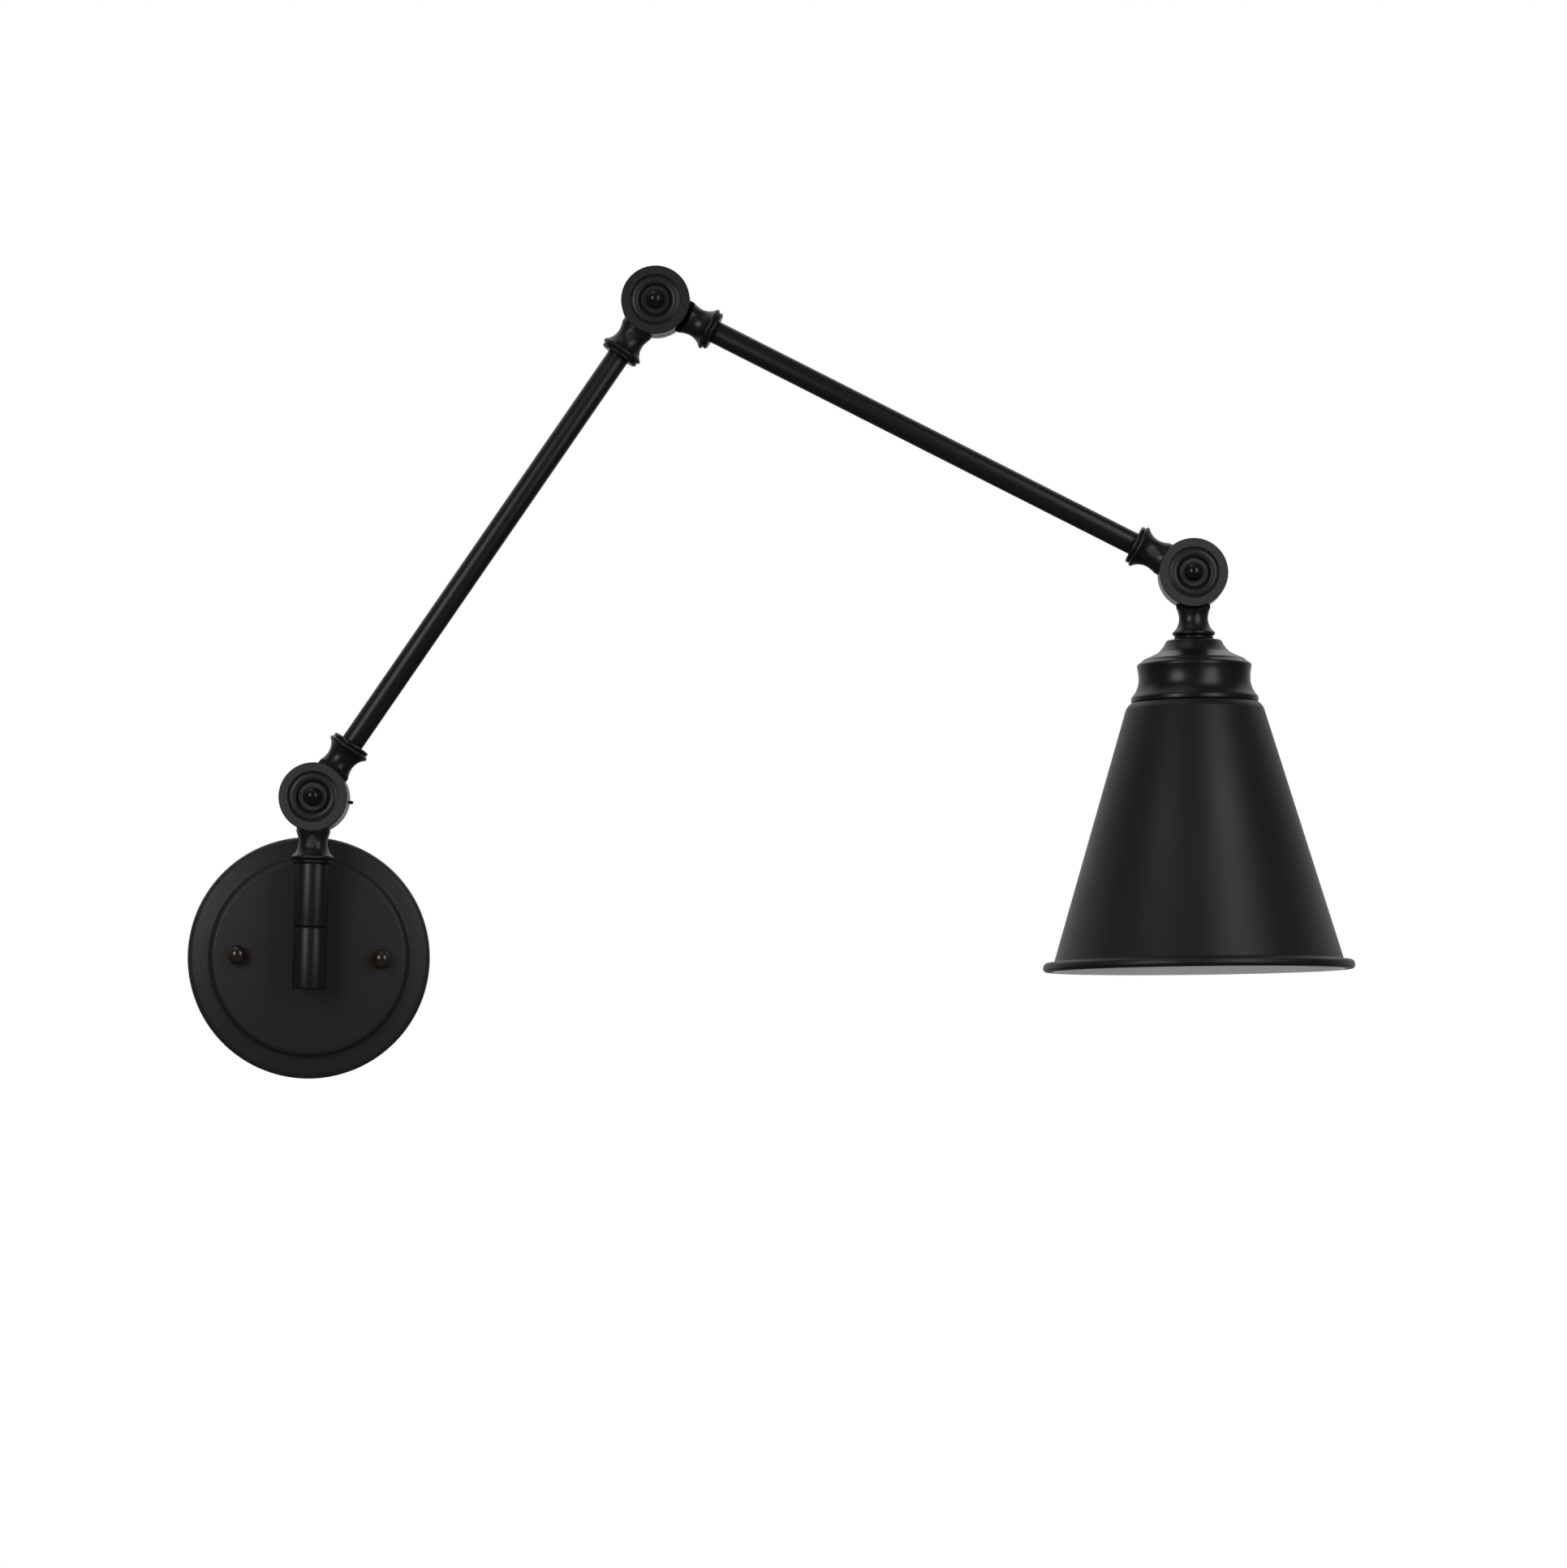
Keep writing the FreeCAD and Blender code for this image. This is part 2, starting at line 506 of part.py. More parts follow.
def knuckle_half(side, spigot_r, spigot_l):
    """A casting: one disc, its neck along +X, the spigot, the bolt hole and the wire way."""
    outward = Y * side
    neck = turned(neck_outline(spigot_r, spigot_l), X)
    neck = neck.cut(rod(CLEAR_R, -HALF_GAP, 2 * CLEAR_R, ORIGIN, -outward))
    half = disc(side).fuse(neck).removeSplitter()
    chamber = tube(CHAMBER_OUT_R, CHAMBER_IN_R, HALF_GAP, HALF_GAP + CHAMBER_DEPTH, ORIGIN, outward)
    way = rod(WIRE_BORE_R, CHAMBER_IN_R + WIRE_BORE_R, FLARE_AT, outward * WIRE_BORE_OUT, X)
    neck_bore = rod(NECK_BORE_R, WAIST_AT + WIRE_BORE_R, COLLAR_END + spigot_l, ORIGIN, X)
    half = half.cut(chamber).cut(way).cut(neck_bore)
    gap = 0 if side == FRONT else RUNNING_GAP
    half = half.cut(rod(BOLT_R + gap, -KNUCKLE_HALF, KNUCKLE_HALF, ORIGIN, Y))
    if side == FRONT:
        return half.cut(rod(STOP_PIN_R, HALF_GAP, HALF_GAP + STOP_PIN_IN, -X * STOP_AT_R, outward))
    return half.cut(stop_groove())


def face_point(radius, angle):
    """A point on the back disc's inner face, by radius and angle from the arm."""
    turn = math.radians(angle)
    return FreeCAD.Vector(radius * math.cos(turn), HALF_GAP, radius * math.sin(turn))


def stop_groove():
    """The round-ended groove in a back disc that lets the stop pin turn as far as the wires allow."""
    half_width = STOP_PIN_R + STOP_SIDE_GAP
    inner = STOP_AT_R - half_width
    outer = STOP_AT_R + half_width
    tip_angle = STOP_ANGLE + math.degrees(math.atan(half_width / STOP_AT_R))
    tip_r = math.hypot(STOP_AT_R, half_width)
    outline = [
        Part.Arc(face_point(outer, -STOP_ANGLE), face_point(outer, 0), face_point(outer, STOP_ANGLE)),
        Part.Arc(face_point(outer, STOP_ANGLE), face_point(tip_r, tip_angle),
                 face_point(inner, STOP_ANGLE)),
        Part.Arc(face_point(inner, STOP_ANGLE), face_point(inner, 0), face_point(inner, -STOP_ANGLE)),
        Part.Arc(face_point(inner, -STOP_ANGLE), face_point(tip_r, -tip_angle),
                 face_point(outer, -STOP_ANGLE)),
    ]
    floor = Part.Face(Part.Wire([side.toShape() for side in outline]))
    return floor.extrude(Y * STOP_GROOVE_DEPTH)


def knuckle_bolt():
    """The bolt through a knuckle, with its slotted head at the back."""
    seat = DISH_FLOOR + SPRING_WASHER_T
    top = seat + BOLT_HEAD_H
    tip = -(DISH_FLOOR + FACE_WASHER_T + BOLT_IN_NUT)
    bolt = turned([(0, tip), (BOLT_R, tip), (BOLT_R, seat), (BOLT_HEAD_R, seat),
                   (BOLT_HEAD_R, seat + EDGE_BREAK), (0, top, -EDGE_BREAK)], Y)
    notch = Part.makeBox(2 * BOLT_HEAD_R, BOLT_HEAD_H / 2, BOLT_SLOT_W,
                         FreeCAD.Vector(-BOLT_HEAD_R, top - BOLT_HEAD_H / 2, -BOLT_SLOT_W / 2))
    return bolt.cut(notch)


def knuckle_ball_nut():
    """The ball nut on the front of a knuckle."""
    seat = -Y * (DISH_FLOOR + FACE_WASHER_T)
    return ball_nut(KNUCKLE_BALL_R, BOLT_R, BOLT_IN_NUT, seat, -Y)


def face_washer():
    """The turned washer under a knuckle's ball nut."""
    top = DISH_FLOOR + FACE_WASHER_T
    return turned([(BOLT_R, DISH_FLOOR), (FACE_WASHER_R, DISH_FLOOR), (FACE_WASHER_R, top - EDGE_BREAK),
                   (FACE_WASHER_R - EDGE_BREAK, top), (BOLT_R, top)], -Y)


def spring_washer():
    """The spring washer under a knuckle bolt's head."""
    return tube(SPRING_WASHER_R, BOLT_R, DISH_FLOOR, DISH_FLOOR + SPRING_WASHER_T, ORIGIN, Y)


def friction_washer():
    """The fibre washer between the two discs, held round by the stop pin."""
    washer = tube(FRICTION_OUT_R, FRICTION_IN_R, -HALF_GAP, HALF_GAP, ORIGIN, Y)
    return washer.cut(rod(STOP_PIN_R, -HALF_GAP, HALF_GAP, -X * STOP_AT_R, Y))


def stop_pin():
    """The pin in a front disc that runs in the back disc's groove."""
    tip = HALF_GAP + STOP_GROOVE_DEPTH - STOP_TIP_GAP
    return rod(STOP_PIN_R, -HALF_GAP - STOP_PIN_IN, tip, -X * STOP_AT_R, Y)


KNUCKLE_SET = {
    "bolt": knuckle_bolt,
    "ball_nut": knuckle_ball_nut,
    "face_washer": face_washer,
    "spring_washer": spring_washer,
    "friction_washer": friction_washer,
    "stop_pin": stop_pin,
}


def lock_pin():
    """The small round-ended pin in the edge of the lower arm's disc."""
    turn = math.radians(LOCK_PIN_TURN)
    heading = FreeCAD.Vector(math.cos(turn), 0, math.sin(turn))
    foot = DISC_R - LOCK_PIN_IN
    tip = DISC_R + LOCK_PIN_PROUD
    soft = LOCK_PIN_R / 2
    return turned([(0, foot), (LOCK_PIN_R, foot), (LOCK_PIN_R, tip - soft),
                   (LOCK_PIN_R - soft, tip, -soft * QUARTER_BOW), (0, tip)], heading, Y * DISC_MIDDLE)


# ---- arms ----------------------------------------------------------------------------------------------
def arm_casting(side):
    """The casting at an end of an arm."""
    return knuckle_half(side, TUBE_BORE_R, ARM_SPIGOT)


def arm_tube():
    """The plain tube between an arm's two castings."""
    return tube(TUBE_R, TUBE_BORE_R, COLLAR_END, ARM_L - COLLAR_END, ORIGIN, X)


# ---- lamp head, along +X from the head pivot -----------------------------------------------------------
def shade_cup():
    """The spun cup that covers the socket."""
    step_top = CUP_FLARE_AT + CUP_STEP_RISE
    skin = CUP_SKIN
    return turned([
        (NIPPLE_R, COLLAR_END),
        (CUP_TOP_R - CUP_TOP_BREAK, COLLAR_END),
        (CUP_TOP_R, COLLAR_END + CUP_TOP_BREAK),
        (CUP_THROAT_R, CUP_THROAT_AT, CUP_THROAT_BOW),
        (CUP_FLARE_R, CUP_FLARE_AT, CUP_FLARE_BOW),
        (CUP_FLARE_R + skin / 2, step_top - skin),
        (CUP_RING_R - skin / 2, step_top),
        (CUP_RING_R, CUP_RING_AT, -skin / 4),
        (CUP_WAIST_R, CUP_WAIST_AT, CUP_WAIST_BOW),
        (CUP_MOUTH_R - skin / 4, CUP_MOUTH_AT - skin / 2, CUP_MOUTH_BOW),
        (CUP_MOUTH_R, CUP_MOUTH_AT),
        (CUP_MOUTH_R, CUP_END - EDGE_BREAK),
        (CUP_MOUTH_R - EDGE_BREAK, CUP_END),
        (CUP_MOUTH_R - skin, CUP_END),
        (CUP_MOUTH_R - skin - EDGE_BREAK, CUP_MOUTH_AT),
        (CUP_WAIST_R - skin, CUP_WAIST_AT, -CUP_MOUTH_BOW),
        (CUP_RING_R - skin, CUP_RING_AT, -CUP_WAIST_BOW),
        (CUP_FLARE_R - skin, CUP_FLARE_AT + skin),
        (CUP_THROAT_R - skin / 2, CUP_THROAT_AT + skin, -CUP_FLARE_BOW),
        (CUP_TOP_R - skin, COLLAR_END + CUP_TOP_BREAK + skin, -CUP_THROAT_BOW),
        (CUP_TOP_R - skin - EDGE_BREAK, COLLAR_END + skin),
        (NIPPLE_R, COLLAR_END + skin),
    ], X)


def cup_lock_nut():
    """The nut inside the cup."""
    return hex_nut(CUP_NUT_AF, NIPPLE_R, COLLAR_END + CUP_SKIN, CUP_NUT_TO, ORIGIN, X)


def socket_body():
    """The moulded socket: a solid top, a shoulder over the shade and a threaded skirt through it."""
    shoulder_from = CUP_END - SHOULDER_T
    neck_from = shoulder_from - (SHOULDER_R - SOCKET_R)
    body = turned([
        (NIPPLE_R, SOCKET_FROM),
        (SOCKET_TOP_R, SOCKET_FROM),
        (SOCKET_R, SOCKET_FROM + SOCKET_TAPER),
        (SOCKET_R, neck_from),
        (SHOULDER_R, shoulder_from),
        (SHOULDER_R, CUP_END),
        (SKIRT_R, CUP_END),
        (SKIRT_R, SKIRT_END - EDGE_BREAK),
        (SKIRT_R - EDGE_BREAK, SKIRT_END),
        (SHELL_R, SKIRT_END),
        (SHELL_R, SOCKET_FLOOR),
        (NIPPLE_R, SOCKET_FLOOR),
    ], X)
    for side in (-1, 1):
        body = body.cut(terminal_screw(side, TERMINAL_SHANK_R))
    return body


def terminal_screw(side, head_r=TERMINAL_R):
    """One terminal screw in the side of the socket."""
    place = X * (SOCKET_FROM + TERMINAL_AT)
    shank_from = SOCKET_R - TERMINAL_SHANK_L
    top = SOCKET_R + TERMINAL_HEAD_H
    return turned([(0, shank_from), (TERMINAL_SHANK_R, shank_from), (TERMINAL_SHANK_R, SOCKET_R),
                   (head_r, SOCKET_R), (head_r, top), (0, top)], Y * side, place)


def socket_terminals():
    """Both terminal screws."""
    return Part.makeCompound([terminal_screw(-1), terminal_screw(1)])


def socket_shell():
    """The brass screw shell that takes the bulb."""
    return tube(SHELL_R, BULB_THREAD_R, SHELL_TO - SHELL_L, SHELL_TO, ORIGIN, X)


def socket_contact():
    """The centre contact on its brass strip."""
    strip = Part.makeBox(CONTACT_STRIP_T, CONTACT_STRIP_L, CONTACT_STRIP_W,
                         FreeCAD.Vector(SOCKET_FLOOR, -CONTACT_STRIP_L / 2, -CONTACT_STRIP_W / 2))
    return strip.fuse(rod(CONTACT_R, SOCKET_FLOOR, SOCKET_FLOOR + CONTACT_H, ORIGIN, X)).removeSplitter()


def shade():
    """The spun cone with a flat top, a sloping shoulder and a rolled rim."""
    hole_r = SKIRT_R + SHADE_HOLE_GAP
    slope = (SHADE_FOOT_R - SHADE_SHOULDER_R) / (SHADE_FOOT_AT - SHADE_SHOULDER_AT)
    skin = SHADE_SKIN * math.hypot(1, slope)
    lip_r = SHADE_FOOT_R + slope * (RIM_END - SHADE_FOOT_AT) - skin
    roll = (RIM_END - SHADE_FOOT_AT) / 2
    top_r = CUP_MOUTH_R - EDGE_BREAK
    return turned([
        (hole_r, CUP_END),
        (top_r, CUP_END),
        (SHADE_SHOULDER_R, SHADE_SHOULDER_AT, -SHADE_SHOULDER_BOW),
        (SHADE_FOOT_R, SHADE_FOOT_AT),
        (RIM_R - roll, SHADE_FOOT_AT + EDGE_BREAK / 2),
        (RIM_R, SHADE_FOOT_AT + roll, -roll * QUARTER_BOW),
        (RIM_R - roll / 2, RIM_END, -roll / 4),
        (lip_r, RIM_END),
        (SHADE_SHOULDER_R - skin, SHADE_SHOULDER_AT),
        (top_r - skin, CUP_END + SHADE_SKIN, SHADE_SHOULDER_BOW),
        (hole_r, CUP_END + SHADE_SKIN),
    ], X)


def shade_ring():
    """The threaded ring that clamps the shade under the socket's shoulder."""
    low = CUP_END + SHADE_SKIN
    high = low + RING_T
    return turned([(SKIRT_R, low), (RING_R, low), (RING_R, high - 2 * EDGE_BREAK),
                   (RING_R - 2 * EDGE_BREAK, high), (SKIRT_R, high)], X)


# ---- the assembly --------------------------------------------------------------------------------------
def build():
    """Writes every node."""
    os.makedirs("parts", exist_ok=True)
    fixed = [canopy, wall_crossbar, crossbar_studs, canopy_ball_nuts, ground_screw, stem_nipple,
             stem_lock_washer, stem_lock_nut, stem_collar, swivel_post, post_plug, swivel_washer]
    turning = [swivel_spindle, spindle_nut, swivel_sleeve]
    for make in fixed + turning:
        write(make.__name__, make())

    base_half = knuckle_half(FRONT, SLEEVE_BORE_R, SLEEVE_SPIGOT)
    write("base_knuckle", in_arm_plane(base_half, BASE_PIVOT, -90))
    foot = arm_casting(BACK).cut(lock_pin())
    write("lower_arm_foot", in_arm_plane(foot, BASE_PIVOT, LOWER_ARM_ANGLE))
    write("lower_arm_lock_pin", in_arm_plane(lock_pin(), BASE_PIVOT, LOWER_ARM_ANGLE))
    write("lower_arm_tube", in_arm_plane(arm_tube(), BASE_PIVOT, LOWER_ARM_ANGLE))
    write("lower_arm_head", in_arm_plane(arm_casting(FRONT), ELBOW_PIVOT, LOWER_ARM_ANGLE + 180))
    write("upper_arm_foot", in_arm_plane(arm_casting(BACK), ELBOW_PIVOT, UPPER_ARM_ANGLE))
    write("upper_arm_tube", in_arm_plane(arm_tube(), ELBOW_PIVOT, UPPER_ARM_ANGLE))
    write("upper_arm_head", in_arm_plane(arm_casting(FRONT), HEAD_PIVOT, UPPER_ARM_ANGLE + 180))
    lamp_half = knuckle_half(BACK, NIPPLE_R, LAMP_STEM)
    write("lamp_knuckle", in_arm_plane(lamp_half, HEAD_PIVOT, LAMP_ANGLE))

    knuckles = {
        "base": (BASE_PIVOT, -90),
        "elbow": (ELBOW_PIVOT, LOWER_ARM_ANGLE + 180),
        "head": (HEAD_PIVOT, UPPER_ARM_ANGLE + 180),
    }
    for place, (pivot, front_neck) in knuckles.items():
        for piece, make in KNUCKLE_SET.items():
            write(place + "_" + piece, in_arm_plane(make(), pivot, front_neck))

    for make in (shade_cup, cup_lock_nut, socket_body, socket_terminals, socket_shell, socket_contact,
                 shade, shade_ring):
        write(make.__name__, in_arm_plane(make(), HEAD_PIVOT, LAMP_ANGLE))


build()
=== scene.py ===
"""Looks of an articulating wall lamp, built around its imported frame.

The lamp's sizes are in millimetres and degrees, as on a drawing, and Bench.piece brings them to metres. The
studio's places and the finishes' scales and depths are in metres. +Z is up, the wall is the plane Y = 0 and
the lamp stands out to -Y.
"""

import logging
import math
from collections.abc import Callable, Iterable, Mapping, Sequence
from dataclasses import dataclass, field
from enum import Enum, IntEnum
from typing import NamedTuple

import bmesh
import bpy
from mathutils import Matrix, Vector

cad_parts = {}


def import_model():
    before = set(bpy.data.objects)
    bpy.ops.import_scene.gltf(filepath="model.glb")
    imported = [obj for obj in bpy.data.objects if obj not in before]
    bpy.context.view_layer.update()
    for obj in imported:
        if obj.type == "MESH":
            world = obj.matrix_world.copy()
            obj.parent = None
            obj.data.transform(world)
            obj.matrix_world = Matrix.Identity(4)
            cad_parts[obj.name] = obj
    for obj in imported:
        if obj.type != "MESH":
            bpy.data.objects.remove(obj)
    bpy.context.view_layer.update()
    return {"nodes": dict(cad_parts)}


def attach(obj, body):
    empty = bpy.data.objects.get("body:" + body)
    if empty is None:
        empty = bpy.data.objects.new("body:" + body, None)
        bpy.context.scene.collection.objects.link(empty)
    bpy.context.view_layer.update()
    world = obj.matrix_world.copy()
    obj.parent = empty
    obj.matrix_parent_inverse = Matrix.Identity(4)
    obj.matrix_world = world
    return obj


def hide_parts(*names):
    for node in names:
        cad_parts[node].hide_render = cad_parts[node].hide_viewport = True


LOG = logging.getLogger("wall_lamp")
MM = 0.001                       # metres in a millimetre
SHARP_ANGLE = math.radians(32)   # edges that bend more than this stay sharp
ARC_STEPS = 8                    # facets of a bowed side
BALL_STEPS = 20                  # facets of a ball from its foot to its top
ROUND_SEGMENTS = 4               # facets of a rounded corner
CREST_FROM = 0.42                # where a thread's crest begins in its pitch
CREST_TO = 0.58                  # where it ends
WELD = 1e-4                      # points closer than this are one
SLIVER = 1e-5                    # edges shorter than this go
ON_RING = 1e-3                   # how near a point lies to the ring of its corner
SQUARE_ON = 0.95                 # a normal this far along an axis counts as square to it
WHITE = (1.0, 1.0, 1.0, 1.0)

Colour = tuple[float, float, float]
Place = tuple[float, float, float]
Nodes = Mapping[str, bpy.types.Object]


class Body(Enum):
    """The rigid bodies of the lamp."""

    WALL_PLATE = "wall_plate"
    SWIVEL = "swivel"
    LOWER_ARM = "lower_arm"
    UPPER_ARM = "upper_arm"
    LAMP_HEAD = "lamp_head"


class Side(Enum):
    """Which half of a knuckle a piece belongs to."""

    FRONT = -1
    BACK = 1


class Carve(Enum):
    """What one solid does to another."""

    JOIN = "UNION"
    CUT = "DIFFERENCE"


class Facets(IntEnum):
    """The facets of one full turn."""

    PIN = 32
    SCREW = 48
    BOLT = 64
    NOTCHED = 72
    TURNED = 96
    SPUN = 128
    SHADE = 160


# ---- shader helpers ----
class Signal:
    """A shader socket that takes part in Python expressions."""

    def __init__(self, sheet: "NodeSheet", socket: bpy.types.NodeSocket | None) -> None:
        """Wraps one output socket of a sheet, or none for a node that has no output."""
        self.sheet = sheet
        self.socket = socket

    def _math(self, operation: str, first: object, second: object) -> "Signal":
        """Adds a Math node for one operator."""
        return self.sheet.node("ShaderNodeMath", {"operation": operation}, {0: first, 1: second})

    def __add__(self, other: object) -> "Signal":
        """self + other"""
        return self._math("ADD", self, other)

    __radd__ = __add__

    def __sub__(self, other: object) -> "Signal":
        """self - other"""
        return self._math("SUBTRACT", self, other)

    def __rsub__(self, other: object) -> "Signal":
        """other - self"""
        return self._math("SUBTRACT", other, self)

    def __mul__(self, other: object) -> "Signal":
        """self * other"""
        return self._math("MULTIPLY", self, other)

    __rmul__ = __mul__


class NodeSheet:
    """The node tree of one material or world, with one way to add a node."""

    def __init__(self, owner: bpy.types.Material | bpy.types.World) -> None:
        """Empties the owner's node tree.

        Args:
            owner: the material or world whose nodes are laid out.
        """
        owner.use_nodes = True
        self.tree = owner.node_tree
        self.tree.nodes.clear()

    def node(self, kind: str, settings: Mapping[str, object] | None = None,
             sockets: Mapping[str | int, object] | None = None, output: str | int = 0) -> Signal:
        """Adds one node.

        Args:
            kind: the node's type name.
            settings: its options, set first.
            sockets: the value or link of each input.
            output: the output that is handed back.

        Returns:
            The chosen output as a signal.
        """
        made = self.tree.nodes.new(kind)
        for name, value in (settings or {}).items():
            setattr(made, name, value)
        for name, value in (sockets or {}).items():
            if isinstance(value, Signal):
                self.tree.links.new(value.socket, made.inputs[name])
            else:
                made.inputs[name].default_value = value
        return Signal(self, made.outputs[output] if made.outputs else None)

    def coordinates(self) -> Signal:
        """Object coordinates."""
        return self.node("ShaderNodeTexCoord", output="Object")

    def noise(self, where: Signal, scale: float, detail: float = 2.0, rough: float = 0.5) -> Signal:
        """Plain noise between 0 and 1 at a scale per metre."""
        return self.node("ShaderNodeTexNoise", {},
                         {"Vector": where, "Scale": scale, "Detail": detail, "Roughness": rough}, "Fac")

    def ramp(self, value: Signal, low: float, high: float) -> Signal:
        """A value spread from low..high to 0..1, with soft ends."""
        return self.node("ShaderNodeMapRange", {"interpolation_type": "SMOOTHSTEP"},
                         {"Value": value, "From Min": low, "From Max": high})

    def blend(self, share: object, first: object, second: object) -> Signal:
        """A mix of two colours.

        Args:
            share: how much of the second colour, from 0 to 1.
            first: the colour at 0.
            second: the colour at 1.

        Returns:
            The mixed colour.
        """
        pair = [(*c, 1.0) if isinstance(c, tuple) else c for c in (first, second)]
        return self.node("ShaderNodeMix", {"data_type": "RGBA"}, {0: share, 6: pair[0], 7: pair[1]}, 2)

    def relief(self, height: Signal, distance: float, strength: float) -> Signal:
        """A bumped normal from a height between 0 and 1."""
        return self.node("ShaderNodeBump", {}, {"Height": height, "Distance": distance, "Strength": strength})

    def matt(self, grey: float) -> Signal:
        """A plain diffuse shader of one grey."""
        return self.node("ShaderNodeBsdfDiffuse", {}, {"Color": (grey, grey, grey, 1.0)})

    def surface(self, **sockets: object) -> None:
        """Ends a material in a Principled shader with the given sockets.

        Args:
            sockets: Principled inputs, with underscores for spaces.
        """
        named = {name.replace("_", " "): value for name, value in sockets.items()}
        shader = self.node("ShaderNodeBsdfPrincipled", {}, named)
        self.node("ShaderNodeOutputMaterial", {}, {"Surface": shader})


# ---- finishes ----
@dataclass(frozen=True)
class Finish:
    """A finish that makes its material once and gives it to every piece that asks."""

    name: str
    colour: Colour

    def material(self) -> bpy.types.Material:
        """The finish as a material.

        Returns:
            The material, made at the first call.
        """
        found = bpy.data.materials.get(self.name)
        if found is None:
            found = bpy.data.materials.new(self.name)
            self.lay_out(NodeSheet(found))
        return found

    def lay_out(self, sheet: NodeSheet) -> None:
        """Lays out the finish's nodes."""
        raise NotImplementedError


@dataclass(frozen=True)
class Lacquer(Finish):
    """Sprayed lacquer: orange peel, a fine powder grain and slightly rubbed edges."""

    rubbed: Colour = (0.030, 0.028, 0.026)
    roughness: float = 0.36
    peel: float = 0.3
    grain: float = 0.2
    wear: float = 0.35
    specular: float = 0.25
    lighter: float = 1.35
    cloud_scale: float = 26.0
    peel_scale: float = 420.0
    grain_scale: float = 3800.0
    speck_scale: float = 900.0
    wear_scale: float = 160.0
    relief_depth: float = 0.00005
    relief_strength: float = 0.45

    def lay_out(self, sheet: NodeSheet) -> None:
        """Lays out the lacquer's nodes.

        Args:
            sheet: the node tree to fill.
        """
        where = sheet.coordinates()
        cloud = sheet.noise(where, self.cloud_scale, 3.0)
        peel = sheet.noise(where, self.peel_scale, 1.0)
        grain = sheet.noise(where, self.grain_scale, 2.0, 0.6)
        speck = sheet.ramp(sheet.noise(where, self.speck_scale, 3.0, 0.7), 0.66, 0.78)
        corner = sheet.ramp(sheet.node("ShaderNodeNewGeometry", output="Pointiness"), 0.53, 0.62)
        edge = corner * sheet.ramp(sheet.noise(where, self.wear_scale, 4.0, 0.65), 0.35, 0.7)
        pale = tuple(c * self.lighter for c in self.colour)
        tone = sheet.blend(cloud * 0.6 + speck * 0.25, self.colour, pale)
        colour = sheet.blend(edge * self.wear, tone, self.rubbed)
        rough = self.roughness + (cloud - 0.5) * 0.10 + (grain - 0.5) * 0.05 - edge * 0.08
        height = peel * self.peel + grain * self.grain
        sheet.surface(Base_Color=colour, Roughness=rough, Specular_IOR_Level=self.specular,
                      Normal=sheet.relief(height, self.relief_depth, self.relief_strength))


@dataclass(frozen=True)
class Enamel(Finish):
    """Baked white enamel: a faint orange peel, warmer where the lamp heats it."""

    scorched: Colour = (0.72, 0.66, 0.54)
    heat_at: Place = (0.0, 0.0, 0.0)
    heat_from: float = 0.025
    heat_reach: float = 0.09
    roughness: float = 0.32
    cloud_scale: float = 30.0
    peel_scale: float = 380.0
    relief_depth: float = 0.00006
    relief_strength: float = 0.4

    def lay_out(self, sheet: NodeSheet) -> None:
        """Lays out the enamel's nodes.

        Args:
            sheet: the node tree to fill.
        """
        where = sheet.coordinates()
        cloud = sheet.noise(where, self.cloud_scale, 3.0)
        peel = sheet.noise(where, self.peel_scale, 1.5)
        away = sheet.node("ShaderNodeVectorMath", {"operation": "DISTANCE"}, {0: where, 1: self.heat_at},
                          "Value")
        heat = (1.0 - sheet.ramp(away, self.heat_from, self.heat_reach)) * (0.55 + cloud * 0.5)
        colour = sheet.blend(heat, self.colour, self.scorched)
        sheet.surface(Base_Color=colour, Roughness=self.roughness + (cloud - 0.5) * 0.12,
                      Normal=sheet.relief(peel, self.relief_depth, self.relief_strength))


@dataclass(frozen=True)
class Metal(Finish):
    """Bare or plated metal: drawn lines, tarnish patches and fine scratches."""

    tarnish: Colour = (0.4, 0.4, 0.4)
    roughness: float = 0.34
    spots: float = 0.4
    cloud_scale: float = 120.0
    bloom_scale: float = 420.0
    line_scales: Place = (400.0, 5200.0, 5200.0)
    relief_depth: float = 0.00003
    relief_strength: float = 0.35

    def lay_out(self, sheet: NodeSheet) -> None:
        """Lays out the metal's nodes.

        Args:
            sheet: the node tree to fill.
        """
        where = sheet.coordinates()
        cloud = sheet.noise(where, self.cloud_scale, 4.0, 0.6)
        bloom = sheet.ramp(sheet.noise(where, self.bloom_scale, 5.0, 0.7), 0.45, 0.75)
        drawn = sheet.node("ShaderNodeMapping", {}, {"Vector": where, "Scale": self.line_scales})
        lines = sheet.noise(drawn, 1.0)
        colour = sheet.blend(bloom * self.spots + cloud * 0.25, self.colour, self.tarnish)
        rough = self.roughness + bloom * 0.15 + (lines - 0.5) * 0.14
        scratched = sheet.relief(lines * 0.6 + cloud * 0.4, self.relief_depth, self.relief_strength)
        sheet.surface(Base_Color=colour, Roughness=rough, Metallic=1.0, Normal=scratched)


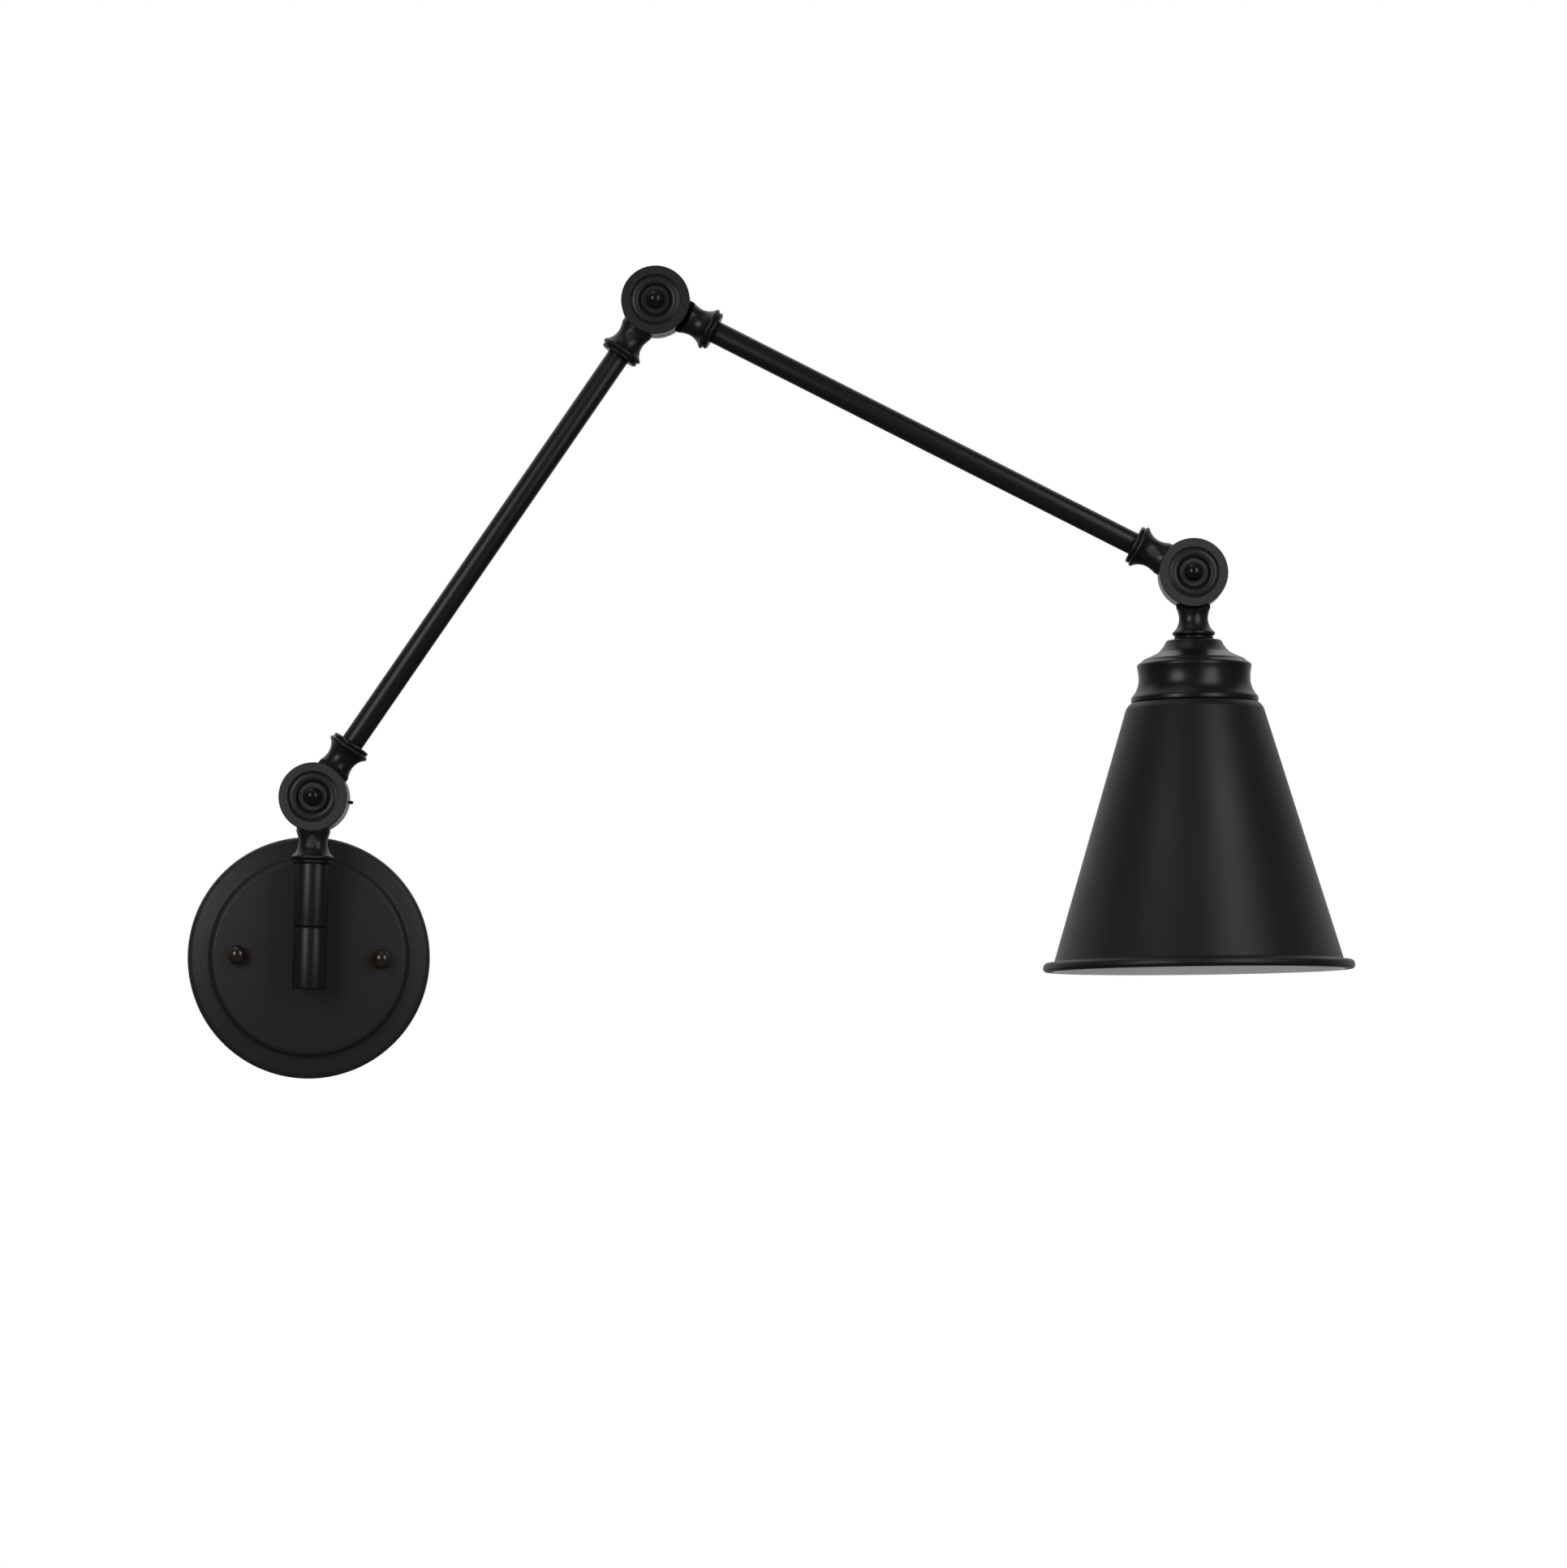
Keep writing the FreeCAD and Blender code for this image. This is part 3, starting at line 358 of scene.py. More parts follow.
@dataclass(frozen=True)
class Moulding(Finish):
    """Moulded or pressed material: flow marks, flecks and a dull pore."""

    fleck: Colour = (0.05, 0.048, 0.045)
    roughness: float = 0.5
    pore: float = 0.5
    specular: float = 0.5
    flow_scale: float = 70.0
    pore_scale: float = 2600.0
    fleck_scale: float = 1500.0
    relief_depth: float = 0.00004

    def lay_out(self, sheet: NodeSheet) -> None:
        """Lays out the moulding's nodes.

        Args:
            sheet: the node tree to fill.
        """
        where = sheet.coordinates()
        flow = sheet.noise(where, self.flow_scale, 4.0, 0.6)
        pores = sheet.noise(where, self.pore_scale, 3.0, 0.7)
        flecks = sheet.ramp(sheet.noise(where, self.fleck_scale, 1.0), 0.62, 0.72)
        colour = sheet.blend(flecks * 0.5 + flow * 0.3, self.colour, self.fleck)
        sheet.surface(Base_Color=colour, Roughness=self.roughness + (flow - 0.5) * 0.16,
                      Specular_IOR_Level=self.specular,
                      Normal=sheet.relief(pores, self.relief_depth, self.pore))


LAMP_BLACK: Colour = (0.0048, 0.0045, 0.0042)
COOL_BLACK: Colour = (0.0050, 0.0045, 0.0066)
CASTING_BLACK = Lacquer("casting_lacquer", LAMP_BLACK, roughness=0.32, peel=0.12, grain=0.06)
FACED_BLACK = Lacquer("faced_lacquer", (0.0232, 0.0208, 0.0208), roughness=0.58, peel=0.1, grain=0.4)
# A darker, duller copy of the faced lacquer: painted shade on the elbow's turned face.
FACED_PAINTED_SHADE = Lacquer("faced_painted_shade_lacquer", (0.0145, 0.0138, 0.0138), roughness=0.6, peel=0.1, grain=0.4,
                     specular=0.14)
BEAD_BLACK = Lacquer("bead_lacquer", (0.0105, 0.0096, 0.0094), roughness=0.38, peel=0.08, grain=0.06)
TUBE_BLACK = Lacquer("tube_lacquer", LAMP_BLACK, peel=0.08, grain=0.05, wear=0.2)
CANOPY_BLACK = Lacquer("canopy_lacquer", (0.0150, 0.0136, 0.0114), roughness=0.44, specular=0.2, wear=0.25)
CUP_BLACK = Lacquer("cup_lacquer", (0.0050, 0.0045, 0.0044), roughness=0.3, peel=0.12, grain=0.08, wear=0.25)
SHADE_BLACK = Lacquer("shade_lacquer", COOL_BLACK, roughness=0.42, peel=0.14, grain=0.1, wear=0.25)
OVERSPRAY = Lacquer("overspray", (0.022, 0.021, 0.020), roughness=0.62, peel=0.2, grain=0.9)
BALL_BLACK = Lacquer("ball_lacquer", (0.004, 0.0038, 0.0037), roughness=0.17, peel=0.15, grain=0.1,
                     wear=0.15, specular=0.22)
BRONZE = Lacquer("bronze_lacquer", (0.0105, 0.0075, 0.0060), rubbed=(0.07, 0.045, 0.03), roughness=0.19,
                 peel=0.2, grain=0.1, wear=0.3, specular=0.45)
GROUND_GREEN = Lacquer("ground_lacquer", (0.02, 0.16, 0.05), rubbed=(0.3, 0.32, 0.28), roughness=0.4,
                       wear=0.6)
ZINC = Metal("zinc_plate", (0.62, 0.62, 0.60), tarnish=(0.42, 0.41, 0.37))
BRASS = Metal("rolled_brass", (0.78, 0.58, 0.27), tarnish=(0.42, 0.27, 0.12), roughness=0.3)
SOCKET_BLACK = Moulding("socket_moulding", (0.016, 0.015, 0.014), roughness=0.42)
FIBRE = Moulding("fibre", (0.004, 0.0038, 0.0036), fleck=(0.012, 0.011, 0.009), roughness=0.8, pore=0.8,
                 specular=0.1)


# ---- the workshop ----
class Corner(NamedTuple):
    """One corner of a turned outline.

    bow is the hollow of the side that ends here, to the left of its travel; soft rounds the corner.
    """

    radius: float
    height: float
    bow: float = 0.0
    soft: float = 0.0


def rotation(degrees: float, axis: str) -> Matrix:
    """A turn about a main axis."""
    return Matrix.Rotation(math.radians(degrees), 4, axis)


def outward(middle: Vector, normal: Vector) -> float:
    """How far a face looks away from local Z, times its distance from it."""
    return normal.x * middle.x + normal.y * middle.y


TO_ARM = rotation(90, "Y")
TO_FRONT = rotation(90, "X")
TO_BACK = rotation(-90, "X")


class Lathe:
    """Turns outlines into closed solids about local +Z."""

    @staticmethod
    def arc(start: Corner, end: Corner) -> list[tuple[float, float]]:
        """The points between two corners along the bow of their side.

        Args:
            start: where the side starts.
            end: where it ends; its bow is used.

        Returns:
            Radius and height of each point, without the corners.
        """
        run = Vector((end.radius - start.radius, end.height - start.height))
        left = Vector((-run.y, run.x)).normalized()
        swing = 4 * math.atan2(end.bow, run.length / 2)
        middle = Vector((start.radius, start.height)) + run / 2
        centre = middle + left * (end.bow - run.length / 2 / math.sin(swing / 2))
        spoke = Vector((start.radius, start.height)) - centre
        points = []
        for step in range(1, ARC_STEPS):
            turned = spoke.copy()
            turned.rotate(Matrix.Rotation(-swing * step / ARC_STEPS, 2))
            points.append(tuple(centre + turned))
        return points

    @classmethod
    def turn(cls, outline: Sequence[Corner], facets: Facets) -> bmesh.types.BMesh:
        """Spins a closed outline once round local +Z.

        Args:
            outline: its corners, in order.
            facets: the facets of the full turn.

        Returns:
            The turned solid, in millimetres.
        """
        mesh = bmesh.new()
        spots = []
        for place, corner in enumerate(outline):
            if corner.bow:
                spots += cls.arc(outline[place - 1], corner)
            spots.append((corner.radius, corner.height))
        ring = [mesh.verts.new((radius, 0.0, height)) for radius, height in spots]
        for place, vert in enumerate(ring):
            last = ring[place - 1]
            if last.co.x > 0 or vert.co.x > 0:
                mesh.edges.new((last, vert))
        bmesh.ops.spin(mesh, geom=[*mesh.verts, *mesh.edges], cent=(0, 0, 0), axis=(0, 0, 1), dvec=(0, 0, 0),
                       angle=math.tau, steps=int(facets), use_merge=True)
        bmesh.ops.remove_doubles(mesh, verts=mesh.verts, dist=WELD)
        bmesh.ops.dissolve_degenerate(mesh, edges=mesh.edges, dist=SLIVER)
        for corner in outline:
            if corner.soft:
                cls.soften(mesh, corner)
        bmesh.ops.recalc_face_normals(mesh, faces=mesh.faces)
        return mesh

    @staticmethod
    def soften(mesh: bmesh.types.BMesh, corner: Corner) -> None:
        """Rounds the ring of edges at one corner of the outline.

        Args:
            mesh: the turned solid.
            corner: the corner to round.
        """
        def on_ring(vert: bmesh.types.BMVert) -> bool:
            """Whether a vertex lies on the corner's ring."""
            reach = math.hypot(vert.co.x, vert.co.y)
            return abs(reach - corner.radius) < ON_RING and abs(vert.co.z - corner.height) < ON_RING

        ring = [edge for edge in mesh.edges if all(on_ring(vert) for vert in edge.verts)]
        bmesh.ops.bevel(mesh, geom=ring, offset=corner.soft, offset_type="OFFSET", segments=ROUND_SEGMENTS,
                        profile=0.5, affect="EDGES", clamp_overlap=True, material=-1)

    @classmethod
    def rod(cls, radius: float, start: float, end: float, facets: Facets) -> bmesh.types.BMesh:
        """A plain round bar."""
        return cls.turn([Corner(0, start), Corner(radius, start), Corner(radius, end), Corner(0, end)],
                        facets)

    @classmethod
    def pipe(cls, radii: tuple[float, float], start: float, end: float, soft: float,
             facets: Facets) -> bmesh.types.BMesh:
        """A plain tube or washer with rounded outer edges.

        Args:
            radii: its inner and outer radius.
            start: its lower end.
            end: its upper end.
            soft: the rounding of its outer edges.
            facets: the facets of the full turn.

        Returns:
            The turned solid, in millimetres.
        """
        inner, outer = radii
        return cls.turn([Corner(inner, start), Corner(outer, start, soft=soft), Corner(outer, end, soft=soft),
                         Corner(inner, end)], facets)

    @classmethod
    def ball(cls, radius: float, seat: float, rise: float, facets: Facets) -> bmesh.types.BMesh:
        """A ball with a flat foot.

        Args:
            radius: the ball's radius.
            seat: the height of its foot.
            rise: how far its middle stands above its foot.
            facets: the facets of the full turn.

        Returns:
            The turned solid, in millimetres.
        """
        foot = math.sqrt(radius ** 2 - rise ** 2)
        start = -math.acos(foot / radius)
        outline = [Corner(0, seat), Corner(foot, seat)]
        for step in range(1, BALL_STEPS):
            angle = start + (math.pi / 2 - start) * step / BALL_STEPS
            outline.append(Corner(radius * math.cos(angle), seat + rise + radius * math.sin(angle)))
        return cls.turn([*outline, Corner(0, seat + rise + radius)], facets)

    @staticmethod
    def threaded(radius: float, depth: float, pitch: float, start: float, end: float) -> list[Corner]:
        """The outside corners of a thread, with plain ends.

        Args:
            radius: the radius over the crests.
            depth: how deep the thread is cut.
            pitch: the distance from crest to crest.
            start: the height where it begins.
            end: the height where it ends.

        Returns:
            The corners, from the start to the end.
        """
        root = radius - depth
        turns = max(int((end - start) / pitch) - 1, 1)
        first = start + (end - start - turns * pitch) / 2
        corners = [Corner(root, start), Corner(root, first)]
        for turn in range(turns):
            low = first + turn * pitch
            corners += [Corner(radius, low + pitch * CREST_FROM), Corner(radius, low + pitch * CREST_TO),
                        Corner(root, low + pitch)]
        return [*corners, Corner(root, end)]


class Bench:
    """Joins, cuts and places meshes, and sets finished pieces into the scene."""

    @staticmethod
    def block(size: Place, middle: Place) -> bmesh.types.BMesh:
        """A box.

        Args:
            size: its three sides.
            middle: where its middle lies.

        Returns:
            The box, in millimetres.
        """
        mesh = bmesh.new()
        bmesh.ops.create_cube(mesh, size=1.0)
        bmesh.ops.scale(mesh, vec=size, verts=mesh.verts)
        bmesh.ops.translate(mesh, vec=middle, verts=mesh.verts)
        return mesh

    @staticmethod
    def moved(mesh: bmesh.types.BMesh, place: Matrix) -> bmesh.types.BMesh:
        """The same mesh after a move."""
        bmesh.ops.transform(mesh, matrix=place, verts=mesh.verts)
        return mesh

    @staticmethod
    def gathered(meshes: Iterable[bmesh.types.BMesh]) -> bmesh.types.BMesh:
        """Several meshes as one, side by side.

        Args:
            meshes: the meshes, which are used up.

        Returns:
            One mesh that holds them all.
        """
        whole = bmesh.new()
        for mesh in meshes:
            data = bpy.data.meshes.new("part")
            mesh.to_mesh(data)
            whole.from_mesh(data)
            bpy.data.meshes.remove(data)
            mesh.free()
        return whole

    @staticmethod
    def stood(name: str, mesh: bmesh.types.BMesh) -> bpy.types.Object:
        """A mesh as an object of the scene.

        Args:
            name: the name of the object and of its mesh.
            mesh: the mesh, which is used up.

        Returns:
            The object, at the origin.
        """
        data = bpy.data.meshes.new(name)
        mesh.to_mesh(data)
        mesh.free()
        made = bpy.data.objects.new(name, data)
        bpy.context.scene.collection.objects.link(made)
        return made

    @classmethod
    def carved(cls, base: bmesh.types.BMesh, carve: Carve, tool: bmesh.types.BMesh) -> bmesh.types.BMesh:
        """Joins a solid to another or cuts it out.

        Args:
            base: the solid to start from, which is used up.
            carve: whether the tool is joined or cut out.
            tool: the other solid, which is used up.

        Returns:
            The carved solid.
        """
        helpers = [cls.stood("helper", base), cls.stood("helper", tool)]
        step = helpers[0].modifiers.new("carve", "BOOLEAN")
        step.operation = carve.value
        step.solver = "EXACT"
        step.object = helpers[1]
        bpy.context.view_layer.update()
        graph = bpy.context.evaluated_depsgraph_get()
        data = bpy.data.meshes.new_from_object(helpers[0].evaluated_get(graph))
        carved = bmesh.new()
        carved.from_mesh(data)
        bpy.data.meshes.remove(data)
        for helper in helpers:
            bpy.data.meshes.remove(helper.data)
        bmesh.ops.remove_doubles(carved, verts=carved.verts, dist=WELD)
        bmesh.ops.dissolve_degenerate(carved, edges=carved.edges, dist=SLIVER)
        return carved

    @classmethod
    def piece(cls, name: str, mesh: bmesh.types.BMesh, place: Matrix, finishes: Sequence[Finish], body: Body,
              node: str, slot: str, choose: Callable[[Vector, Vector], int] | None = None) -> None:
        """Sets a finished piece into the scene in place of a node.

        Args:
            name: the piece's name.
            mesh: its mesh, in millimetres in its own frame, which is used up.
            place: brings that frame to the row frame.
            finishes: its finishes, in slot order.
            body: the body that it rides on.
            node: the node that it stands for.
            slot: the record's material slot; not used.
            choose: picks a finish from a face's middle and normal in the piece's own frame.
        """
        for face in mesh.faces:
            face.smooth = True
            if choose:
                face.material_index = choose(face.calc_center_median(), face.normal)
        made = cls.stood(name, cls.moved(mesh, Matrix.Scale(MM, 4) @ place))
        made.data.set_sharp_from_angle(angle=SHARP_ANGLE)
        for finish in finishes:
            made.data.materials.append(finish.material())
        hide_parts(node)
        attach(made, body.value)
        LOG.info("made %s for %s: %d faces", name, node, len(made.data.polygons))

    @staticmethod
    def dress(node: bpy.types.Object, finish: Finish) -> None:
        """Gives a carried-over node its finish.

        Args:
            node: the frame's object.
            finish: what it is finished in.
        """
        if not node.material_slots:
            node.data.materials.append(finish.material())
        for slot in node.material_slots:
            slot.material = finish.material()
        LOG.info("dressed %s in %s", node.name, finish.name)


# ---- where things stand ----
@dataclass(frozen=True)
class Stance:
    """Where the swivel, the arms and the lamp stand at rest."""

    axis_out: float = 32.0
    swing: float = 6.0
    knuckle_up: float = 76.7
    arm_length: float = 292.1
    lower_angle: float = 57.1
    upper_angle: float = -25.6
    lamp_angle: float = -87.9

    def step(self, start: Vector, angle: float) -> Vector:
        """The point one arm's length along a direction in the arm plane, before it is swung out."""
        turn = math.radians(angle)
        return start + Vector((math.cos(turn), 0, math.sin(turn))) * self.arm_length

    @property
    def base_pivot(self) -> Vector:
        """The first knuckle."""
        return Vector((0, -self.axis_out, self.knuckle_up))

    @property
    def elbow_pivot(self) -> Vector:
        """The knuckle between the arms."""
        return self.step(self.base_pivot, self.lower_angle)

    @property
    def head_pivot(self) -> Vector:
        """The knuckle over the lamp."""
        return self.step(self.elbow_pivot, self.upper_angle)

    @property
    def upright(self) -> Matrix:
        """Places a piece that stands on the swivel's axis."""
        return Matrix.Translation((0, -self.axis_out, 0))

    @property
    def swung(self) -> Matrix:
        """The swing of the arm plane about the swivel's axis."""
        return self.upright @ rotation(-self.swing, "Z") @ self.upright.inverted()

    def along(self, pivot: Vector, angle: float) -> Matrix:
        """Places a piece whose +X runs out from a pivot.

        Args:
            pivot: the knuckle that it starts from.
            angle: its direction above level in the arm plane.

        Returns:
            The placing matrix, in millimetres.
        """
        return self.swung @ Matrix.Translation(pivot) @ rotation(-angle, "Y")

    @property
    def lamp(self) -> Matrix:
        """Places a piece turned about the lamp's axis."""
        return self.along(self.head_pivot, self.lamp_angle) @ TO_ARM


STANCE = Stance()


# ---- wall plate ----
@dataclass(frozen=True)
class WallPlate:
    """The canopy, its crossbar and the fixed half of the swivel."""

    canopy_r: float = 58.8
    canopy_depth: float = 18.0
    skin: float = 1.4
    side: float = 12.0
    edge_r: float = 3.2
    inner_edge_r: float = 1.9
    lip_r: float = 0.3
    border_rise: float = 1.1
    step_head_r: float = 45.6
    step_foot_r: float = 49.9
    step_bow: float = 0.6
    hole_land_r: float = 5.705
    stud_spacing: float = 69.85
    stud_r: float = 2.08
    stud_pitch: float = 0.79
    stud_groove: float = 0.3
    stud_proud: float = 5.0
    stud_point_r: float = 1.58
    stud_point_l: float = 0.4
    ball_r: float = 4.75
    seat_share: float = 0.6
    nipple_r: float = 4.85
    nipple_bore_r: float = 3.1
    nipple_back: float = 6.0
    nipple_pitch: float = 0.94
    nipple_groove: float = 0.35
    nipple_fit: float = 0.05
    post_r: float = 8.15
    post_down: float = 15.8
    post_up: float = 13.4
    post_roof: float = 7.4
    post_foot_edge: float = 0.4
    seam_edge: float = 0.2
    washer_r: float = 7.3
    washer_t: float = 1.0
    plug_r: float = 6.6
    plug_t: float = 3.0
    plug_dish_r: float = 5.2
    plug_rim_r: float = 6.0
    plug_dish: float = 0.5
    ground_at: float = 18.0
    ground_shank_r: float = 2.0
    ground_seat: float = 2.0
    ground_head_r: float = 4.2
    ground_side: float = 4.4
    ground_top: float = 4.8
    ground_slot: Place = (9.0, 1.2, 2.0)
    ground_slot_at: float = 4.6
    body: Body = Body.WALL_PLATE

    def canopy(self) -> None:
        """The spun cover, black outside and dull with overspray inside."""
        depth = self.canopy_depth
        top = self.side + self.border_rise
        inner = self.canopy_r - self.skin
        middle_r = (self.step_head_r + self.step_foot_r) / 2
        middle_h = (top + depth) / 2
        shell = Lathe.turn([
            Corner(inner, 0, soft=self.lip_r),
            Corner(self.canopy_r, 0, soft=self.lip_r),
            Corner(self.canopy_r, self.side, soft=self.edge_r),
            Corner(self.step_foot_r, top),
            Corner(middle_r, middle_h, bow=self.step_bow),
            Corner(self.step_head_r, depth, bow=-self.step_bow),
            Corner(self.hole_land_r, depth),   # keeps the rubbed edge of the hole close to it
            Corner(self.nipple_r, depth),
            Corner(self.nipple_r, depth - self.skin),
            Corner(self.step_head_r, depth - self.skin),
            Corner(middle_r - self.skin, middle_h, bow=self.step_bow / 3),
            Corner(self.step_foot_r, top - self.skin, bow=-self.step_bow * 1.5),
            Corner(inner, self.side - self.skin, soft=self.inner_edge_r),
        ], Facets.SPUN)

        def inside(middle: Vector, normal: Vector) -> int:
            """1 for the faces that look at the wall or at the canopy's middle."""
            return int(normal.z < -0.2 or (outward(middle, normal) < 0 and normal.z < 0.2))

        Bench.piece("canopy_cover", shell, TO_FRONT, [CANOPY_BLACK, OVERSPRAY], self.body, "canopy",
                    "canopy_enamel", inside)

    def pair(self, mesh: bmesh.types.BMesh) -> bmesh.types.BMesh:
        """A mesh twice, at both studs.

        Args:
            mesh: the mesh on the middle line, which is used up.

        Returns:
            Both as one mesh.
        """
        twins = [(mesh, -self.stud_spacing / 2), (mesh.copy(), self.stud_spacing / 2)]
        return Bench.gathered(Bench.moved(twin, Matrix.Translation((offset, 0, 0))) for twin, offset in twins)

    def studs(self) -> None:
        """The two threaded studs."""
        tip = self.canopy_depth + self.stud_proud
        thread = Lathe.threaded(self.stud_r, self.stud_groove, self.stud_pitch, 0.0, tip - self.stud_point_l)
        stud = Lathe.turn([Corner(0, 0), *thread, Corner(self.stud_point_r, tip), Corner(0, tip)], Facets.PIN)
        Bench.piece("cover_studs", self.pair(stud), TO_FRONT, [ZINC], self.body, "crossbar_studs",
                    "zinc_steel")

    def ball_nuts(self) -> None:
        """The two bronze ball nuts on the cover."""
        nut = Lathe.ball(self.ball_r, self.canopy_depth, self.ball_r * self.seat_share, Facets.SCREW)
        Bench.piece("cover_ball_nuts", self.pair(nut), TO_FRONT, [BRONZE], self.body, "canopy_ball_nuts",
                    "dark_bronze")

    def nipple(self) -> None:
        """The threaded pipe between the cover and the post."""
        end = STANCE.axis_out - self.plug_r
        thread = Lathe.threaded(self.nipple_r, self.nipple_groove, self.nipple_pitch, self.nipple_back, end)
        pipe = Lathe.turn([Corner(self.nipple_bore_r, self.nipple_back), *thread,
                           Corner(self.nipple_bore_r, end)], Facets.SCREW)
        Bench.piece("stem_pipe", pipe, TO_FRONT, [ZINC], self.body, "stem_nipple", "zinc_steel")

    def post(self) -> None:
        """The fixed half of the swivel."""
        bore = self.nipple_r + self.nipple_fit
        post = Lathe.turn([
            Corner(self.plug_r, -self.post_down),
            Corner(self.post_r, -self.post_down, soft=self.post_foot_edge),
            Corner(self.post_r, self.post_up, soft=self.seam_edge),
            Corner(bore, self.post_up),
            Corner(bore, self.post_up - self.post_roof),
            Corner(self.plug_r, self.post_up - self.post_roof),
        ], Facets.TURNED)
        Bench.piece("post", post, STANCE.upright, [TUBE_BLACK], self.body, "swivel_post",
                    "satin_black_tube")

    def plug(self) -> None:
        """The dished plug in the bottom of the post."""
        low = -self.post_down
        plug = Lathe.turn([
            Corner(0, low + self.plug_dish),
            Corner(self.plug_dish_r, low + self.plug_dish, soft=0.3),
            Corner(self.plug_rim_r, low, soft=0.3),
            Corner(self.plug_r, low),
            Corner(self.plug_r, low + self.plug_t),
            Corner(0, low + self.plug_t),
        ], Facets.TURNED)
        Bench.piece("post_cap", plug, STANCE.upright, [TUBE_BLACK], self.body, "post_plug",
                    "satin_black_tube")

    def seam_washer(self) -> None:
        """The washer in the seam of the swivel."""
        washer = Lathe.pipe((self.nipple_r + self.nipple_fit, self.washer_r), self.post_up,
                            self.post_up + self.washer_t, self.seam_edge, Facets.TURNED)
        Bench.piece("seam_washer", washer, STANCE.upright, [FIBRE], self.body, "swivel_washer",
                    "black_fibre")

    def ground_screw(self) -> None:
        """The green screw that takes the earth wire."""
        head = Lathe.turn([
            Corner(0, 0),
            Corner(self.ground_shank_r, 0),
            Corner(self.ground_shank_r, self.ground_seat),
            Corner(self.ground_head_r, self.ground_seat, soft=0.2),
            Corner(self.ground_head_r, self.ground_side, soft=0.4),
            Corner(0, self.ground_top),
        ], Facets.SCREW)
        slotted = Bench.carved(head, Carve.CUT, Bench.block(self.ground_slot, (0, 0, self.ground_slot_at)))
        Bench.piece("earth_screw", slotted, Matrix.Translation((self.ground_at, 0, 0)) @ TO_FRONT,
                    [GROUND_GREEN], self.body, "ground_screw", "ground_green")

    def build(self, nodes: Nodes) -> None:
        """Makes the wall plate's pieces and dresses the nodes that stay.

        Args:
            nodes: the frame's objects by node.
        """
        self.canopy()
        self.studs()
        self.ball_nuts()
        self.nipple()
        self.post()
        self.plug()
        self.seam_washer()
        self.ground_screw()
        for name in ("wall_crossbar", "stem_lock_washer", "stem_lock_nut"):
            Bench.dress(nodes[name], ZINC)
        Bench.dress(nodes["stem_collar"], TUBE_BLACK)


